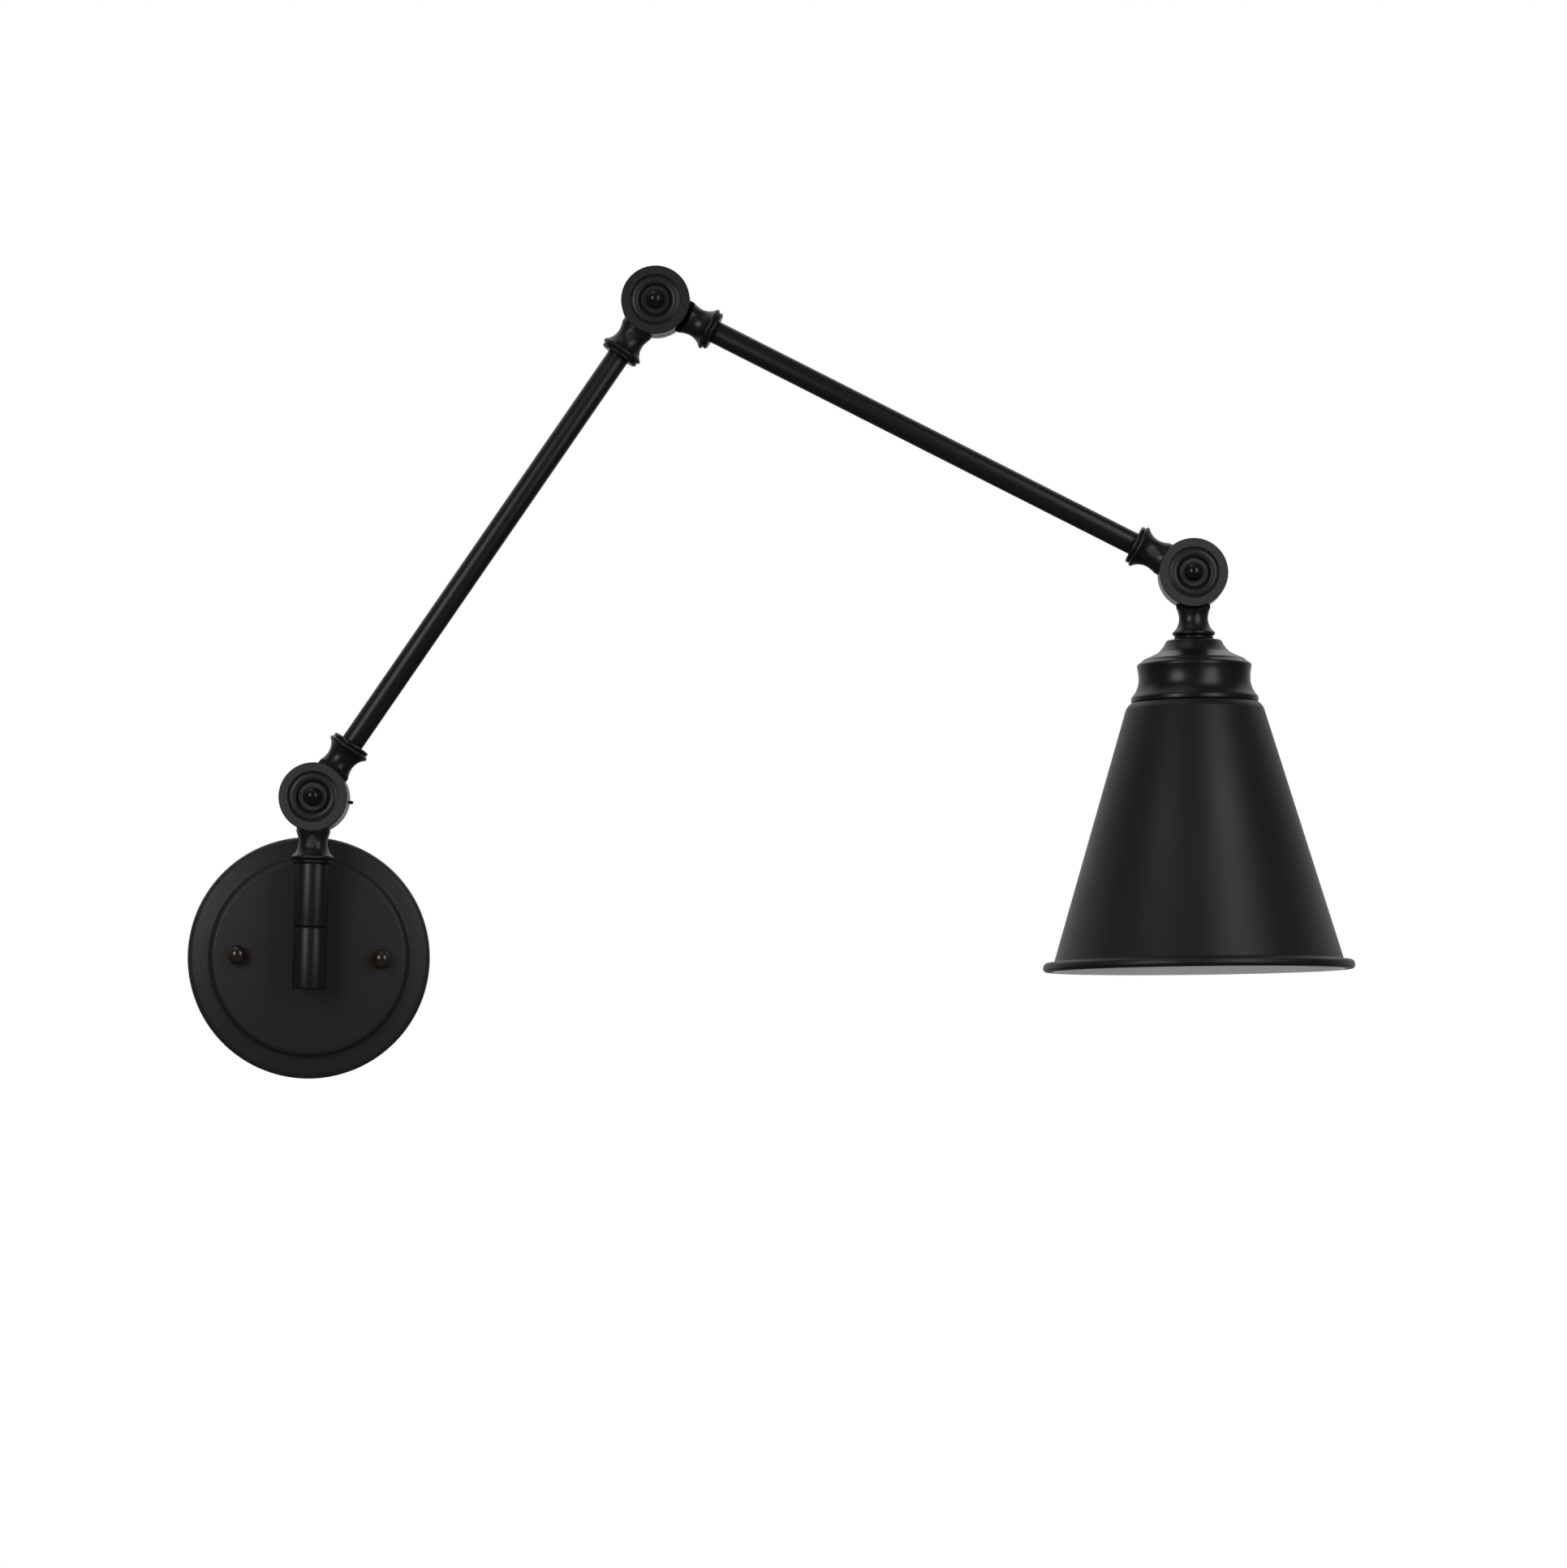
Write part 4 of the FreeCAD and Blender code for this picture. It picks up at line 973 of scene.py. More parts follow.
# ---- knuckles ----
@dataclass(frozen=True)
class Casting:
    """One half of a knuckle: its turned disc, its neck and the spigot that goes on."""

    disc_r: float = 16.65
    half: float = 8.8
    half_gap: float = 0.4
    lap_gap: float = 2.2
    groove_out: float = 12.35
    groove_in: float = 12.05
    groove_depth: float = 0.75
    bead_out: float = 11.7
    bead_out_depth: float = 0.8
    bead_in: float = 7.75
    bead_in_depth: float = 0.95
    bead_bow: float = -0.76
    dish_r: float = 7.35
    dish_depth: float = 1.8
    bolt_r: float = 2.5
    root_at: float = 12.5
    root_r: float = 8.25
    waist: Corner = Corner(7.0, 21.5, bow=0.22)
    flare: Corner = Corner(8.9, 27.2, bow=0.52)
    flange_near: Corner = Corner(10.2, 28.45, soft=0.15)
    flange_far: Corner = Corner(10.2, 29.65, bow=-0.2, soft=0.15)
    flange_foot: Corner = Corner(9.1, 30.45)
    ring_near: Corner = Corner(9.5, 30.85, soft=0.15)
    ring_far: Corner = Corner(9.3, 31.8, bow=-0.1, soft=0.15)
    end_r: float = 8.7
    end: float = 32.2

    @property
    def floor(self) -> float:
        """The depth of the dish's floor from the middle plane."""
        return self.half - self.dish_depth

    def disc(self, side: Side) -> bmesh.types.BMesh:
        """The disc with its turned face.

        Args:
            side: front or back disc.

        Returns:
            The disc, its face turned to its own side.
        """
        outline = [
            Corner(self.bolt_r, self.half_gap),
            Corner(self.disc_r, self.half_gap, soft=0.2),
            Corner(self.disc_r, self.half, soft=0.45),
            Corner(self.groove_out, self.half, soft=0.12),
            Corner(self.groove_in, self.half - self.groove_depth),
            Corner(self.bead_out, self.half - self.bead_out_depth),
            Corner(self.bead_in, self.half - self.bead_in_depth, bow=self.bead_bow),
            Corner(self.dish_r, self.floor),
            Corner(self.bolt_r, self.floor),
        ]
        return Bench.moved(Lathe.turn(outline, Facets.TURNED), TO_FRONT if side is Side.FRONT else TO_BACK)

    def neck(self, spigot_r: float, spigot_l: float) -> bmesh.types.BMesh:
        """The turned neck along +X with its flange, ring and spigot.

        Args:
            spigot_r: the spigot's radius.
            spigot_l: the spigot's length.

        Returns:
            The neck, from inside the disc to the spigot's end.
        """
        outline = [
            Corner(0, self.root_at),
            Corner(self.root_r, self.root_at),
            Corner(self.root_r, self.disc_r),
            self.waist,
            self.flare,
            self.flange_near,
            self.flange_far,
            self.flange_foot,
            self.ring_near,
            self.ring_far,
            Corner(self.end_r, self.end),
            Corner(spigot_r, self.end),
            Corner(spigot_r, self.end + spigot_l),
            Corner(0, self.end + spigot_l),
        ]
        return Bench.moved(Lathe.turn(outline, Facets.TURNED), TO_ARM)

    def build(self, name: str, node: str, side: Side, place: Matrix, body: Body,
              spigot: tuple[float, float], face: Finish = FACED_BLACK) -> None:
        """Joins disc and neck and clears the lap for the other half.

        Args:
            name: the piece's name.
            node: the node that it stands for.
            side: front or back disc.
            place: the pivot and direction of the neck.
            body: the body that it rides on.
            spigot: the spigot's radius and length.
            face: the finish of the turned flat.
        """
        clear = Lathe.rod(self.disc_r + self.lap_gap, -self.half_gap, 2 * self.disc_r, Facets.SPUN)
        Bench.moved(clear, TO_BACK if side is Side.FRONT else TO_FRONT)
        neck = Bench.carved(self.neck(*spigot), Carve.CUT, clear)
        half = Bench.carved(self.disc(side), Carve.JOIN, neck)

        def faced(middle: Vector, normal: Vector) -> int:
            """1 for the flat turned round the edge, 2 for the bead inside it."""
            reach = math.hypot(middle.x, middle.z)
            look = side.value * normal.y
            if look > SQUARE_ON and reach > self.groove_out:
                return 1
            return 2 if look > 0.5 and self.bead_in < reach < self.bead_out else 0

        Bench.piece(name, half, place, [CASTING_BLACK, face, BEAD_BLACK], body, node, "satin_black_casting",
                    faced)


@dataclass(frozen=True)
class Knuckle:
    """The hardware of one knuckle: bolt, ball nut, washers and stop pin."""

    name: str
    place: Matrix
    body: Body
    face: Finish = FACED_BLACK
    casting: Casting = field(default_factory=Casting)
    bolt_head_r: float = 4.4
    bolt_head_h: float = 2.6
    bolt_side_h: float = 1.0
    bolt_dome: float = 0.45
    bolt_in_nut: float = 4.4
    thread_pitch: float = 0.8
    thread_groove: float = 0.3
    thread_l: float = 9.0
    thread_end: float = 9.6
    slot: Place = (10.0, 1.2, 2.6)
    spring_r: float = 6.6
    spring_t: float = 1.2
    spring_edge: float = 0.15
    split: Place = (6.0, 0.5, 4.0)
    split_at: float = 5.0
    split_slant: float = 28.0
    face_r: float = 6.9
    face_t: float = 1.3
    face_side_h: float = 0.6
    ring_out: float = 6.65
    faced_to: float = 6.7
    ring_in: float = 4.5
    step_out: float = 4.4
    step_in: float = 3.9
    step_depth: float = 0.3
    land_r: float = 3.7
    ball_r: float = 4.5
    seat_share: float = 0.6

    def ball_nut(self) -> None:
        """The glossy ball nut at the front."""
        seat = self.casting.floor + self.face_t
        ball = Lathe.ball(self.ball_r, seat, self.ball_r * self.seat_share, Facets.BOLT)
        Bench.piece(self.name + "_ball", ball, self.place @ TO_FRONT, [BALL_BLACK], self.body,
                    self.name + "_ball_nut", "gloss_black")

    def face_washer(self) -> None:
        """The washer under the ball nut, with a flat ring turned on its face."""
        low = self.casting.floor
        top = low + self.face_t
        washer = Lathe.turn([
            Corner(self.casting.bolt_r, low),
            Corner(self.face_r, low),
            Corner(self.face_r, low + self.face_side_h, soft=0.1),
            Corner(self.ring_out, top, bow=-0.08, soft=0.1),
            Corner(self.ring_in, top, soft=0.1),
            Corner(self.step_out, top - self.step_depth),
            Corner(self.step_in, top - self.step_depth),
            Corner(self.land_r, top),
            Corner(self.casting.bolt_r, top),
        ], Facets.TURNED)

        def faced(middle: Vector, normal: Vector) -> int:
            """1 for the flat ring round the ball nut."""
            reach = math.hypot(middle.x, middle.y)
            return int(normal.z > SQUARE_ON and self.step_out < reach < self.faced_to)

        Bench.piece(self.name + "_front_washer", washer, self.place @ TO_FRONT, [CASTING_BLACK, self.face],
                    self.body, self.name + "_face_washer", "satin_black_casting", faced)

    def bolt(self) -> None:
        """The bolt, with its domed and slotted head at the back."""
        radius = self.casting.bolt_r
        seat = self.casting.floor + self.spring_t
        top = seat + self.bolt_head_h
        tip = -(self.casting.floor + self.face_t + self.bolt_in_nut)
        bolt = Lathe.turn([
            Corner(0, tip),
            *Lathe.threaded(radius, self.thread_groove, self.thread_pitch, tip, tip + self.thread_l),
            Corner(radius, tip + self.thread_end),
            Corner(radius, seat),
            Corner(self.bolt_head_r, seat, soft=0.15),
            Corner(self.bolt_head_r, seat + self.bolt_side_h, soft=0.3),
            Corner(0, top, bow=-self.bolt_dome),
        ], Facets.BOLT)
        slotted = Bench.carved(bolt, Carve.CUT, Bench.block(self.slot, (0, 0, top)))
        Bench.piece(self.name + "_screw", slotted, self.place @ TO_BACK, [ZINC], self.body,
                    self.name + "_bolt", "zinc_steel")

    def spring_washer(self) -> None:
        """The split spring washer under the bolt's head."""
        floor = self.casting.floor
        ring = Lathe.pipe((self.casting.bolt_r, self.spring_r), floor, floor + self.spring_t,
                          self.spring_edge, Facets.BOLT)
        cut = Bench.moved(Bench.block(self.split, (self.split_at, 0, floor)), rotation(self.split_slant, "X"))
        split = Bench.carved(ring, Carve.CUT, cut)
        Bench.piece(self.name + "_split_washer", split, self.place @ TO_BACK, [ZINC], self.body,
                    self.name + "_spring_washer", "zinc_steel")

    def build(self, nodes: Nodes) -> None:
        """Makes the knuckle's hardware and dresses the nodes that stay.

        Args:
            nodes: the frame's objects by node.
        """
        self.ball_nut()
        self.face_washer()
        self.bolt()
        self.spring_washer()
        Bench.dress(nodes[self.name + "_friction_washer"], FIBRE)
        Bench.dress(nodes[self.name + "_stop_pin"], ZINC)


# ---- swivel and arms ----
@dataclass(frozen=True)
class Swivel:
    """The turning half of the swivel and the first knuckle's front."""

    sleeve_r: float = 8.15
    sleeve_from: float = 14.4
    sleeve_to: float = 44.5
    spindle_r: float = 4.85
    floor_t: float = 8.0
    bore_r: float = 6.45
    spigot_l: float = 10.0
    seam_edge: float = 0.2
    top_edge: float = 0.15
    casting: Casting = field(default_factory=Casting)
    body: Body = Body.SWIVEL

    def sleeve(self) -> None:
        """The sleeve over the spindle."""
        sleeve = Lathe.turn([
            Corner(self.spindle_r, self.sleeve_from),
            Corner(self.sleeve_r, self.sleeve_from, soft=self.seam_edge),
            Corner(self.sleeve_r, self.sleeve_to, soft=self.top_edge),
            Corner(self.bore_r, self.sleeve_to),
            Corner(self.bore_r, self.sleeve_from + self.floor_t),
            Corner(self.spindle_r, self.sleeve_from + self.floor_t),
        ], Facets.TURNED)
        Bench.piece("sleeve", sleeve, STANCE.swung @ STANCE.upright, [TUBE_BLACK], self.body,
                    "swivel_sleeve", "satin_black_tube")

    def build(self, nodes: Nodes) -> None:
        """Makes the swivel's pieces and dresses the nodes that stay.

        Args:
            nodes: the frame's objects by node.
        """
        self.sleeve()
        place = STANCE.along(STANCE.base_pivot, -90)
        self.casting.build("base_front_disc", "base_knuckle", Side.FRONT, place, self.body,
                           (self.bore_r, self.spigot_l))
        Knuckle("base", place, self.body).build(nodes)
        for name in ("swivel_spindle", "spindle_nut"):
            Bench.dress(nodes[name], ZINC)


@dataclass(frozen=True)
class Arm:
    """One arm: a tube between two castings."""

    name: str
    start: Vector
    end: Vector
    angle: float
    body: Body
    far_knuckle: str
    far_face: Finish = FACED_BLACK
    tube_r: float = 5.5
    bore_r: float = 4.3
    tube_edge: float = 0.1
    spigot_l: float = 12.0
    casting: Casting = field(default_factory=Casting)

    def tube(self) -> None:
        """The drawn tube between the castings."""
        pipe = Lathe.pipe((self.bore_r, self.tube_r), self.casting.end, STANCE.arm_length - self.casting.end,
                          self.tube_edge, Facets.TURNED)
        Bench.piece(self.name + "_pipe", pipe, STANCE.along(self.start, self.angle) @ TO_ARM, [TUBE_BLACK],
                    self.body, self.name + "_tube", "satin_black_tube")

    def build(self, nodes: Nodes) -> None:
        """Makes the arm's pieces and the hardware of its far knuckle.

        Args:
            nodes: the frame's objects by node.
        """
        spigot = (self.bore_r, self.spigot_l)
        near = STANCE.along(self.start, self.angle)
        far = STANCE.along(self.end, self.angle + 180)
        self.tube()
        self.casting.build(self.name + "_back_disc", self.name + "_foot", Side.BACK, near, self.body, spigot)
        self.casting.build(self.name + "_front_disc", self.name + "_head", Side.FRONT, far, self.body, spigot,
                           self.far_face)
        Knuckle(self.far_knuckle, far, self.body, self.far_face).build(nodes)


@dataclass(frozen=True)
class LockPin:
    """The small pin in the edge of the lower arm's back disc."""

    radius: float = 0.85
    foot: float = 12.45
    tip: float = 18.5
    tip_round: float = 0.4
    turn: float = -62.5
    out: float = 4.6
    body: Body = Body.LOWER_ARM

    def build(self) -> None:
        """Makes the round-ended pin."""
        pin = Lathe.turn([
            Corner(0, self.foot),
            Corner(self.radius, self.foot),
            Corner(self.radius, self.tip, soft=self.tip_round),
            Corner(0, self.tip),
        ], Facets.PIN)
        angle = STANCE.lower_angle + self.turn
        place = STANCE.along(STANCE.base_pivot, angle) @ Matrix.Translation((0, self.out, 0)) @ TO_ARM
        Bench.piece("lock_stub", pin, place, [BALL_BLACK], self.body, "lower_arm_lock_pin", "gloss_black")


# ---- lamp head ----
@dataclass(frozen=True)
class LampHead:
    """The lamp's knuckle half and cup, and what hangs from them, turned about the lamp's axis."""

    stem_r: float = 4.85
    stem_l: float = 10.0
    cup_skin: float = 1.2
    cup_top: Corner = Corner(13.2, 32.2, soft=0.9)
    throat: Corner = Corner(17.4, 38.2, bow=0.42)
    flare: Corner = Corner(24.6, 41.6, bow=0.1)
    flare_edge: Corner = Corner(25.2, 42.4, soft=0.3)
    ring_low: Corner = Corner(27.05, 43.6, soft=0.4)
    ring: Corner = Corner(27.65, 45.5, bow=-0.3)
    waist: Corner = Corner(27.05, 51.0, bow=0.17)
    bead_low: Corner = Corner(30.5, 59.7, bow=0.9)
    bead_near: Corner = Corner(30.8, 60.3, soft=0.2)
    bead_far: Corner = Corner(30.8, 62.0, soft=0.3)
    inner_mouth_r: float = 29.2
    inner_neck: Corner = Corner(12.0, 34.4, bow=-0.42)
    inner_top_r: float = 11.6
    roof_to: float = 43.0
    mouth: float = 62.4
    shade_skin: float = 0.94
    shade_hole_r: float = 19.7
    shade_top_r: float = 30.4
    shade_top_t: float = 0.9
    shade_roof_to: float = 64.5
    shoulder_r: float = 33.5
    shoulder_at: float = 66.1
    shoulder_bow: float = 0.4
    cone_ring_r: float = 50.0
    foot_r: float = 69.75
    foot_at: float = 187.3
    rim_r: float = 75.0
    rim_end: float = 192.0
    roll_bow: float = 0.29
    roll_end_bow: float = 0.25
    lamp_heat_at: float = 90.0
    skirt_r: float = 19.3
    skirt_end: float = 84.0
    skirt_end_r: float = 18.4
    thread_end: float = 83.4
    skirt_pitch: float = 2.2
    skirt_groove: float = 0.45
    socket_top: Corner = Corner(10.0, 37.6, soft=0.5)
    socket_slope: Corner = Corner(16.5, 43.1, soft=0.5)
    socket_side: Corner = Corner(16.5, 53.9, soft=0.3)
    collar_low: Corner = Corner(22.0, 59.4, soft=0.4)
    socket_floor: float = 48.6
    thread_r: float = 13.1
    thread_gap: float = 0.8
    shell_from: float = 51.0
    shell_to: float = 75.0
    shell_turns: int = 6
    shell_lip_t: float = 0.35
    shell_t: float = 0.4
    shell_wave: tuple[tuple[float, float], ...] = ((0.25, 0.28), (0.5, 0.4), (0.75, 0.28), (1.0, 0.0))
    clamp_r: float = 24.5
    clamp_t: float = 4.0
    notch_depth: float = 0.7
    casting: Casting = field(default_factory=Casting)
    body: Body = Body.LAMP_HEAD

    def cup(self) -> None:
        """The spun cup: a trumpet, a ring, a waist and a mouth bead."""
        skin = self.cup_skin
        top = self.cup_top.height
        shell = Lathe.turn([
            Corner(self.stem_r, top),
            self.cup_top,
            self.throat,
            self.flare,
            self.flare_edge,
            self.ring_low,
            self.ring,
            self.waist,
            self.bead_low,
            self.bead_near,
            self.bead_far,
            Corner(self.shade_top_r, self.mouth, soft=0.15),
            Corner(self.bead_far.radius - skin, self.mouth),
            Corner(self.inner_mouth_r, self.bead_near.height),
            Corner(self.waist.radius - skin, self.waist.height, bow=-self.bead_low.bow),
            Corner(self.ring.radius - skin, self.ring.height, bow=-self.waist.bow),
            Corner(self.flare.radius - skin, self.flare.height + skin),
            Corner(self.throat.radius - skin / 2, self.throat.height + skin, bow=-self.flare.bow),
            self.inner_neck,
            Corner(self.inner_top_r, top + skin),
            Corner(self.stem_r, top + skin),
        ], Facets.SPUN)

        def inside(middle: Vector, normal: Vector) -> int:
            """1 for the faces that look at the axis or, under the top, down the axis."""
            return int(outward(middle, normal) < -0.05 or (normal.z > 0.7 and middle.z < self.roof_to))

        Bench.piece("spun_cup", shell, STANCE.lamp, [CUP_BLACK, OVERSPRAY], self.body, "shade_cup",
                    "cup_enamel", inside)

    def shade(self) -> None:
        """The spun cone with its rolled rim, black outside and white inside."""
        slope = (self.foot_r - self.shoulder_r) / (self.foot_at - self.shoulder_at)
        lip = self.foot_r + slope * (self.rim_end - self.foot_at) - self.shade_skin
        roll = (self.rim_end - self.foot_at) / 2
        inner_top = self.mouth + self.shade_top_t
        shell = Lathe.turn([
            Corner(self.shade_hole_r, self.mouth),
            Corner(self.shade_top_r, self.mouth, soft=0.4),
            Corner(self.shoulder_r, self.shoulder_at, bow=-self.shoulder_bow),
            Corner(self.cone_ring_r, self.shoulder_at + (self.cone_ring_r - self.shoulder_r) / slope),
            Corner(self.foot_r, self.foot_at, soft=0.5),
            Corner(self.rim_r - roll, self.foot_at + 0.2),
            Corner(self.rim_r, self.foot_at + roll, bow=-roll * self.roll_bow),
            Corner(self.rim_r - roll / 2, self.rim_end, bow=-roll * self.roll_end_bow, soft=0.3),
            Corner(lip, self.rim_end, soft=0.35),
            Corner(self.shoulder_r - self.shade_skin, self.shoulder_at),
            Corner(self.shade_top_r - self.shade_skin, inner_top, bow=self.shoulder_bow),
            Corner(self.shade_hole_r, inner_top),
        ], Facets.SHADE)

        def inside(middle: Vector, normal: Vector) -> int:
            """1 for the white inner faces and the inner part of the rim's end."""
            reach = math.hypot(middle.x, middle.y)
            cone = outward(middle, normal) < 0 and reach < lip + 0.1
            roof = normal.z > 0.5 and middle.z < self.shade_roof_to
            return int(cone or roof or (middle.z > self.rim_end - 0.6 and reach < lip + 0.45))

        spot = Matrix.Scale(MM, 4) @ STANCE.lamp @ Vector((0, 0, self.lamp_heat_at))
        white = Enamel("shade_white", (0.80, 0.80, 0.79), heat_at=tuple(spot))
        Bench.piece("spun_shade", shell, STANCE.lamp, [SHADE_BLACK, white], self.body, "shade",
                    "shade_enamel", inside)

    def socket(self) -> None:
        """The moulded socket with its threaded skirt."""
        bore = self.thread_r + self.thread_gap
        body = Lathe.turn([
            Corner(self.stem_r, self.socket_top.height),
            self.socket_top,
            self.socket_slope,
            self.socket_side,
            self.collar_low,
            Corner(self.collar_low.radius, self.mouth, soft=0.2),
            *Lathe.threaded(self.skirt_r, self.skirt_groove, self.skirt_pitch, self.mouth, self.thread_end),
            Corner(self.skirt_end_r, self.skirt_end, soft=0.2),
            Corner(bore, self.skirt_end, soft=0.4),
            Corner(bore, self.socket_floor),
            Corner(self.stem_r, self.socket_floor),
        ], Facets.TURNED)
        Bench.piece("moulded_socket", body, STANCE.lamp, [SOCKET_BLACK], self.body, "socket_body",
                    "moulded_black")

    def screw_shell(self) -> None:
        """The rolled sheet that takes the bulb, with its wave in and out."""
        pitch = (self.shell_to - self.shell_from) / self.shell_turns
        inner = [Corner(self.thread_r, self.shell_from)]
        outer = [Corner(self.thread_r + self.shell_lip_t, self.shell_from)]
        for turn in range(self.shell_turns):
            for share, lift in self.shell_wave:
                height = self.shell_from + (turn + share) * pitch
                inner.append(Corner(self.thread_r + lift, height))
                outer.append(Corner(self.thread_r + self.shell_t + lift, height))
        shell = Lathe.turn([*inner, *reversed(outer)], Facets.TURNED)
        Bench.piece("screw_shell", shell, STANCE.lamp, [BRASS], self.body, "socket_shell", "socket_brass")

    def clamp_ring(self) -> None:
        """The clamping ring, with finger notches in every third facet of its edge."""
        low = self.mouth + self.shade_top_t
        ring = Lathe.turn([
            Corner(self.skirt_r, low),
            Corner(self.clamp_r, low, soft=0.3),
            Corner(self.clamp_r, low + self.clamp_t, soft=0.8),
            Corner(self.skirt_r, low + self.clamp_t, soft=0.4),
        ], Facets.NOTCHED)
        facet = 360 / Facets.NOTCHED
        notched = []
        for face in ring.faces:
            middle = face.calc_center_median()
            count = round(math.degrees(math.atan2(middle.y, middle.x)) / facet - 0.5)
            upright = math.hypot(middle.x, middle.y) > self.clamp_r - 0.1 and abs(face.normal.z) < 0.1
            if upright and count % 3 == 0:
                notched.append(face)
        for face in bmesh.ops.extrude_discrete_faces(ring, faces=notched)["faces"]:
            face.normal_update()
            bmesh.ops.translate(ring, vec=-self.notch_depth * face.normal, verts=face.verts)
        Bench.piece("clamp_ring", ring, STANCE.lamp, [SOCKET_BLACK], self.body, "shade_ring",
                    "moulded_black")

    def build(self, nodes: Nodes) -> None:
        """Makes the lamp head's pieces and dresses the nodes that stay.

        Args:
            nodes: the frame's objects by node.
        """
        place = STANCE.along(STANCE.head_pivot, STANCE.lamp_angle)
        self.casting.build("lamp_back_disc", "lamp_knuckle", Side.BACK, place, self.body,
                           (self.stem_r, self.stem_l))
        self.cup()
        self.shade()
        self.socket()
        self.screw_shell()
        self.clamp_ring()
        Bench.dress(nodes["cup_lock_nut"], ZINC)
        for name in ("socket_contact", "socket_terminals"):
            Bench.dress(nodes[name], BRASS)


# ---- the studio ----
@dataclass(frozen=True)
class Softbox:
    """One area light that looks at the lamp."""

    name: str
    spot: Place
    size: tuple[float, float]
    watts: float
    aim: Place = (0.2, 0.0, 0.1)

    def build(self) -> None:
        """Adds the light."""
        light = bpy.data.lights.new(self.name, "AREA")
        light.shape = "RECTANGLE"
        light.size, light.size_y = self.size
        light.energy = self.watts
        lamp = bpy.data.objects.new(self.name, light)
        look = Vector(self.aim) - Vector(self.spot)
        lamp.matrix_world = Matrix.Translation(self.spot) @ look.to_track_quat("-Z", "Y").to_matrix().to_4x4()
        lamp.visible_camera = False
        bpy.context.scene.collection.objects.link(lamp)
        LOG.info("lit %s", self.name)


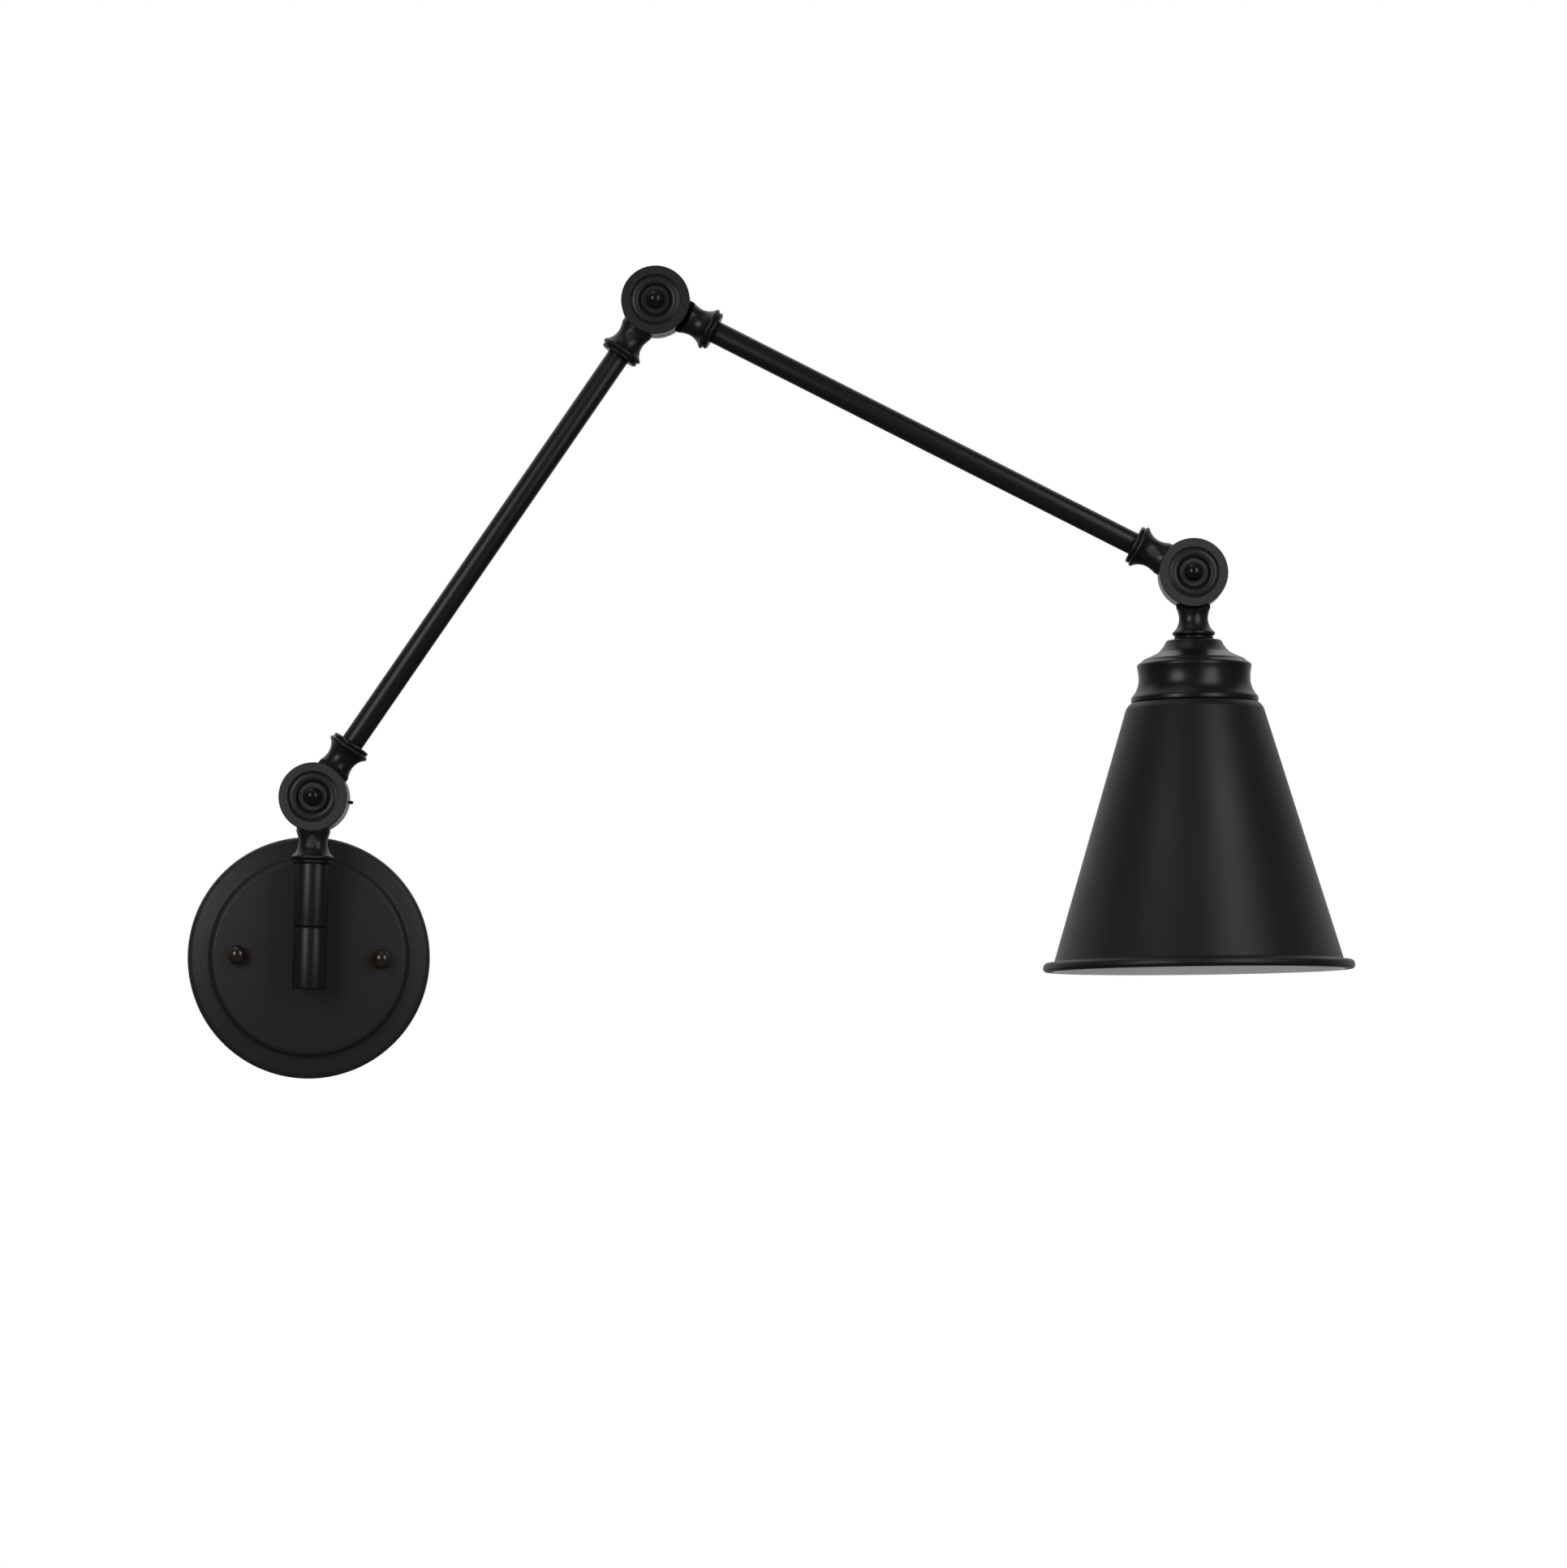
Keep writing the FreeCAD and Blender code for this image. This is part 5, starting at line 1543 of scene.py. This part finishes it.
@dataclass(frozen=True)
class Studio:
    """Camera, floor, world and lights."""

    camera_at: Place = (-0.0359, -2.8366, -0.0826)
    yaw: float = -5.3673
    pitch: float = 3.5148
    roll: float = 1.4575
    focal_px: float = 7134.87
    photo_px: tuple[int, int] = (1931, 1932)
    sensor_mm: float = 36.0
    far: float = 50.0
    floor_at: Place = (0.2, 0.0, -0.42)
    floor_half: float = 1.3
    floor_seen: float = 0.5
    floor_glow: float = 0.62
    floor_lit: float = 0.65
    floor_mirrored: float = 0.2
    room_base: float = 0.14
    room_behind: float = 0.55
    room_above: float = 0.7
    soft_light: float = 0.22
    below_loss: float = 0.1
    softboxes: tuple[Softbox, ...] = (
        Softbox("softbox_right", (0.83, -0.97, 0.45), (0.49, 0.95), 6.0, aim=(0.35, 0.0, 0.1)),
        Softbox("softbox_left", (-0.95, -1.45, 0.5), (0.72, 0.95), 13.6),
        Softbox("overhead", (-0.4, -0.3, 1.9), (1.4, 1.0), 3.5),
    )

    def camera(self) -> None:
        """The camera at the photograph's viewpoint."""
        data = bpy.data.cameras.new("camera")
        data.sensor_fit = "HORIZONTAL"
        data.sensor_width = self.sensor_mm
        data.lens = self.focal_px / self.photo_px[0] * self.sensor_mm
        data.clip_end = self.far
        seat = bpy.data.objects.new("camera", data)
        turn = rotation(self.yaw, "Z") @ rotation(90 + self.pitch, "X") @ rotation(self.roll, "Z")
        seat.matrix_world = Matrix.Translation(self.camera_at) @ turn
        bpy.context.scene.collection.objects.link(seat)
        bpy.context.scene.camera = seat

    @staticmethod
    def rays(sheet: NodeSheet) -> tuple[Signal, Signal]:
        """1 for the camera's rays, and 1 for mirrored or refracted ones."""
        camera, glossy, clear = (sheet.node("ShaderNodeLightPath", output=f"Is {kind} Ray")
                                 for kind in ("Camera", "Glossy", "Transmission"))
        return camera, glossy + clear

    def floor(self) -> None:
        """A plain pale floor well below the lamp, dimmer where the lacquer mirrors it."""
        mesh = bmesh.new()
        bmesh.ops.create_grid(mesh, x_segments=1, y_segments=1, size=self.floor_half)
        bmesh.ops.translate(mesh, vec=self.floor_at, verts=mesh.verts)
        paint = bpy.data.materials.new("floor_paint")
        sheet = NodeSheet(paint)
        glow = sheet.node("ShaderNodeEmission", {}, {"Color": WHITE, "Strength": self.floor_glow})
        seen = sheet.node("ShaderNodeAddShader", {}, {0: sheet.matt(self.floor_seen), 1: glow})
        camera, mirrored = self.rays(sheet)
        unseen = sheet.node("ShaderNodeMixShader", {},
                            {0: mirrored, 1: sheet.matt(self.floor_lit), 2: sheet.matt(self.floor_mirrored)})
        mixed = sheet.node("ShaderNodeMixShader", {}, {0: camera, 1: unseen, 2: seen})
        sheet.node("ShaderNodeOutputMaterial", {}, {"Surface": mixed})
        floor = Bench.stood("floor", mesh)
        floor.data.materials.append(paint)

    def world(self) -> None:
        """White to the camera, soft grey light on the lamp, and a room that is darker in front."""
        world = bpy.data.worlds.new("room")
        bpy.context.scene.world = world
        sheet = NodeSheet(world)
        way = sheet.coordinates()
        depth, height = (sheet.node("ShaderNodeSeparateXYZ", {}, {0: way}, axis) for axis in "YZ")
        behind = sheet.ramp(depth, 0.15, 1.0)
        below = sheet.ramp(0.0 - height, -0.1, 0.6) * self.below_loss
        above = sheet.ramp(height, 0.25, 0.6) * sheet.ramp(depth, 0.1, 0.4)
        room = self.room_base + behind * self.room_behind + above * self.room_above - below
        camera, mirrored = self.rays(sheet)
        soft = (self.soft_light - below) * (1.0 - camera - mirrored)
        strength = camera + mirrored * room + soft
        glow = sheet.node("ShaderNodeBackground", {}, {"Color": WHITE, "Strength": strength})
        sheet.node("ShaderNodeOutputWorld", {}, {"Surface": glow})

    def build(self) -> None:
        """Sets up the whole studio."""
        bpy.context.scene.view_settings.view_transform = "Standard"
        self.camera()
        self.floor()
        self.world()
        for softbox in self.softboxes:
            softbox.build()


def main() -> None:
    """Builds the lamp's looks and the studio."""
    logging.basicConfig(level=logging.INFO, format="%(name)s: %(message)s")
    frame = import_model()
    nodes = frame["nodes"]
    Studio().build()
    WallPlate().build(nodes)
    Swivel().build(nodes)
    # The elbow's turned face takes the darker copy of the faced lacquer, as painted shade.
    Arm("lower_arm", STANCE.base_pivot, STANCE.elbow_pivot, STANCE.lower_angle, Body.LOWER_ARM,
        "elbow", FACED_PAINTED_SHADE).build(nodes)
    LockPin().build()
    Arm("upper_arm", STANCE.elbow_pivot, STANCE.head_pivot, STANCE.upper_angle, Body.UPPER_ARM,
        "head").build(nodes)
    LampHead().build(nodes)


if __name__ == "__main__":
    main()
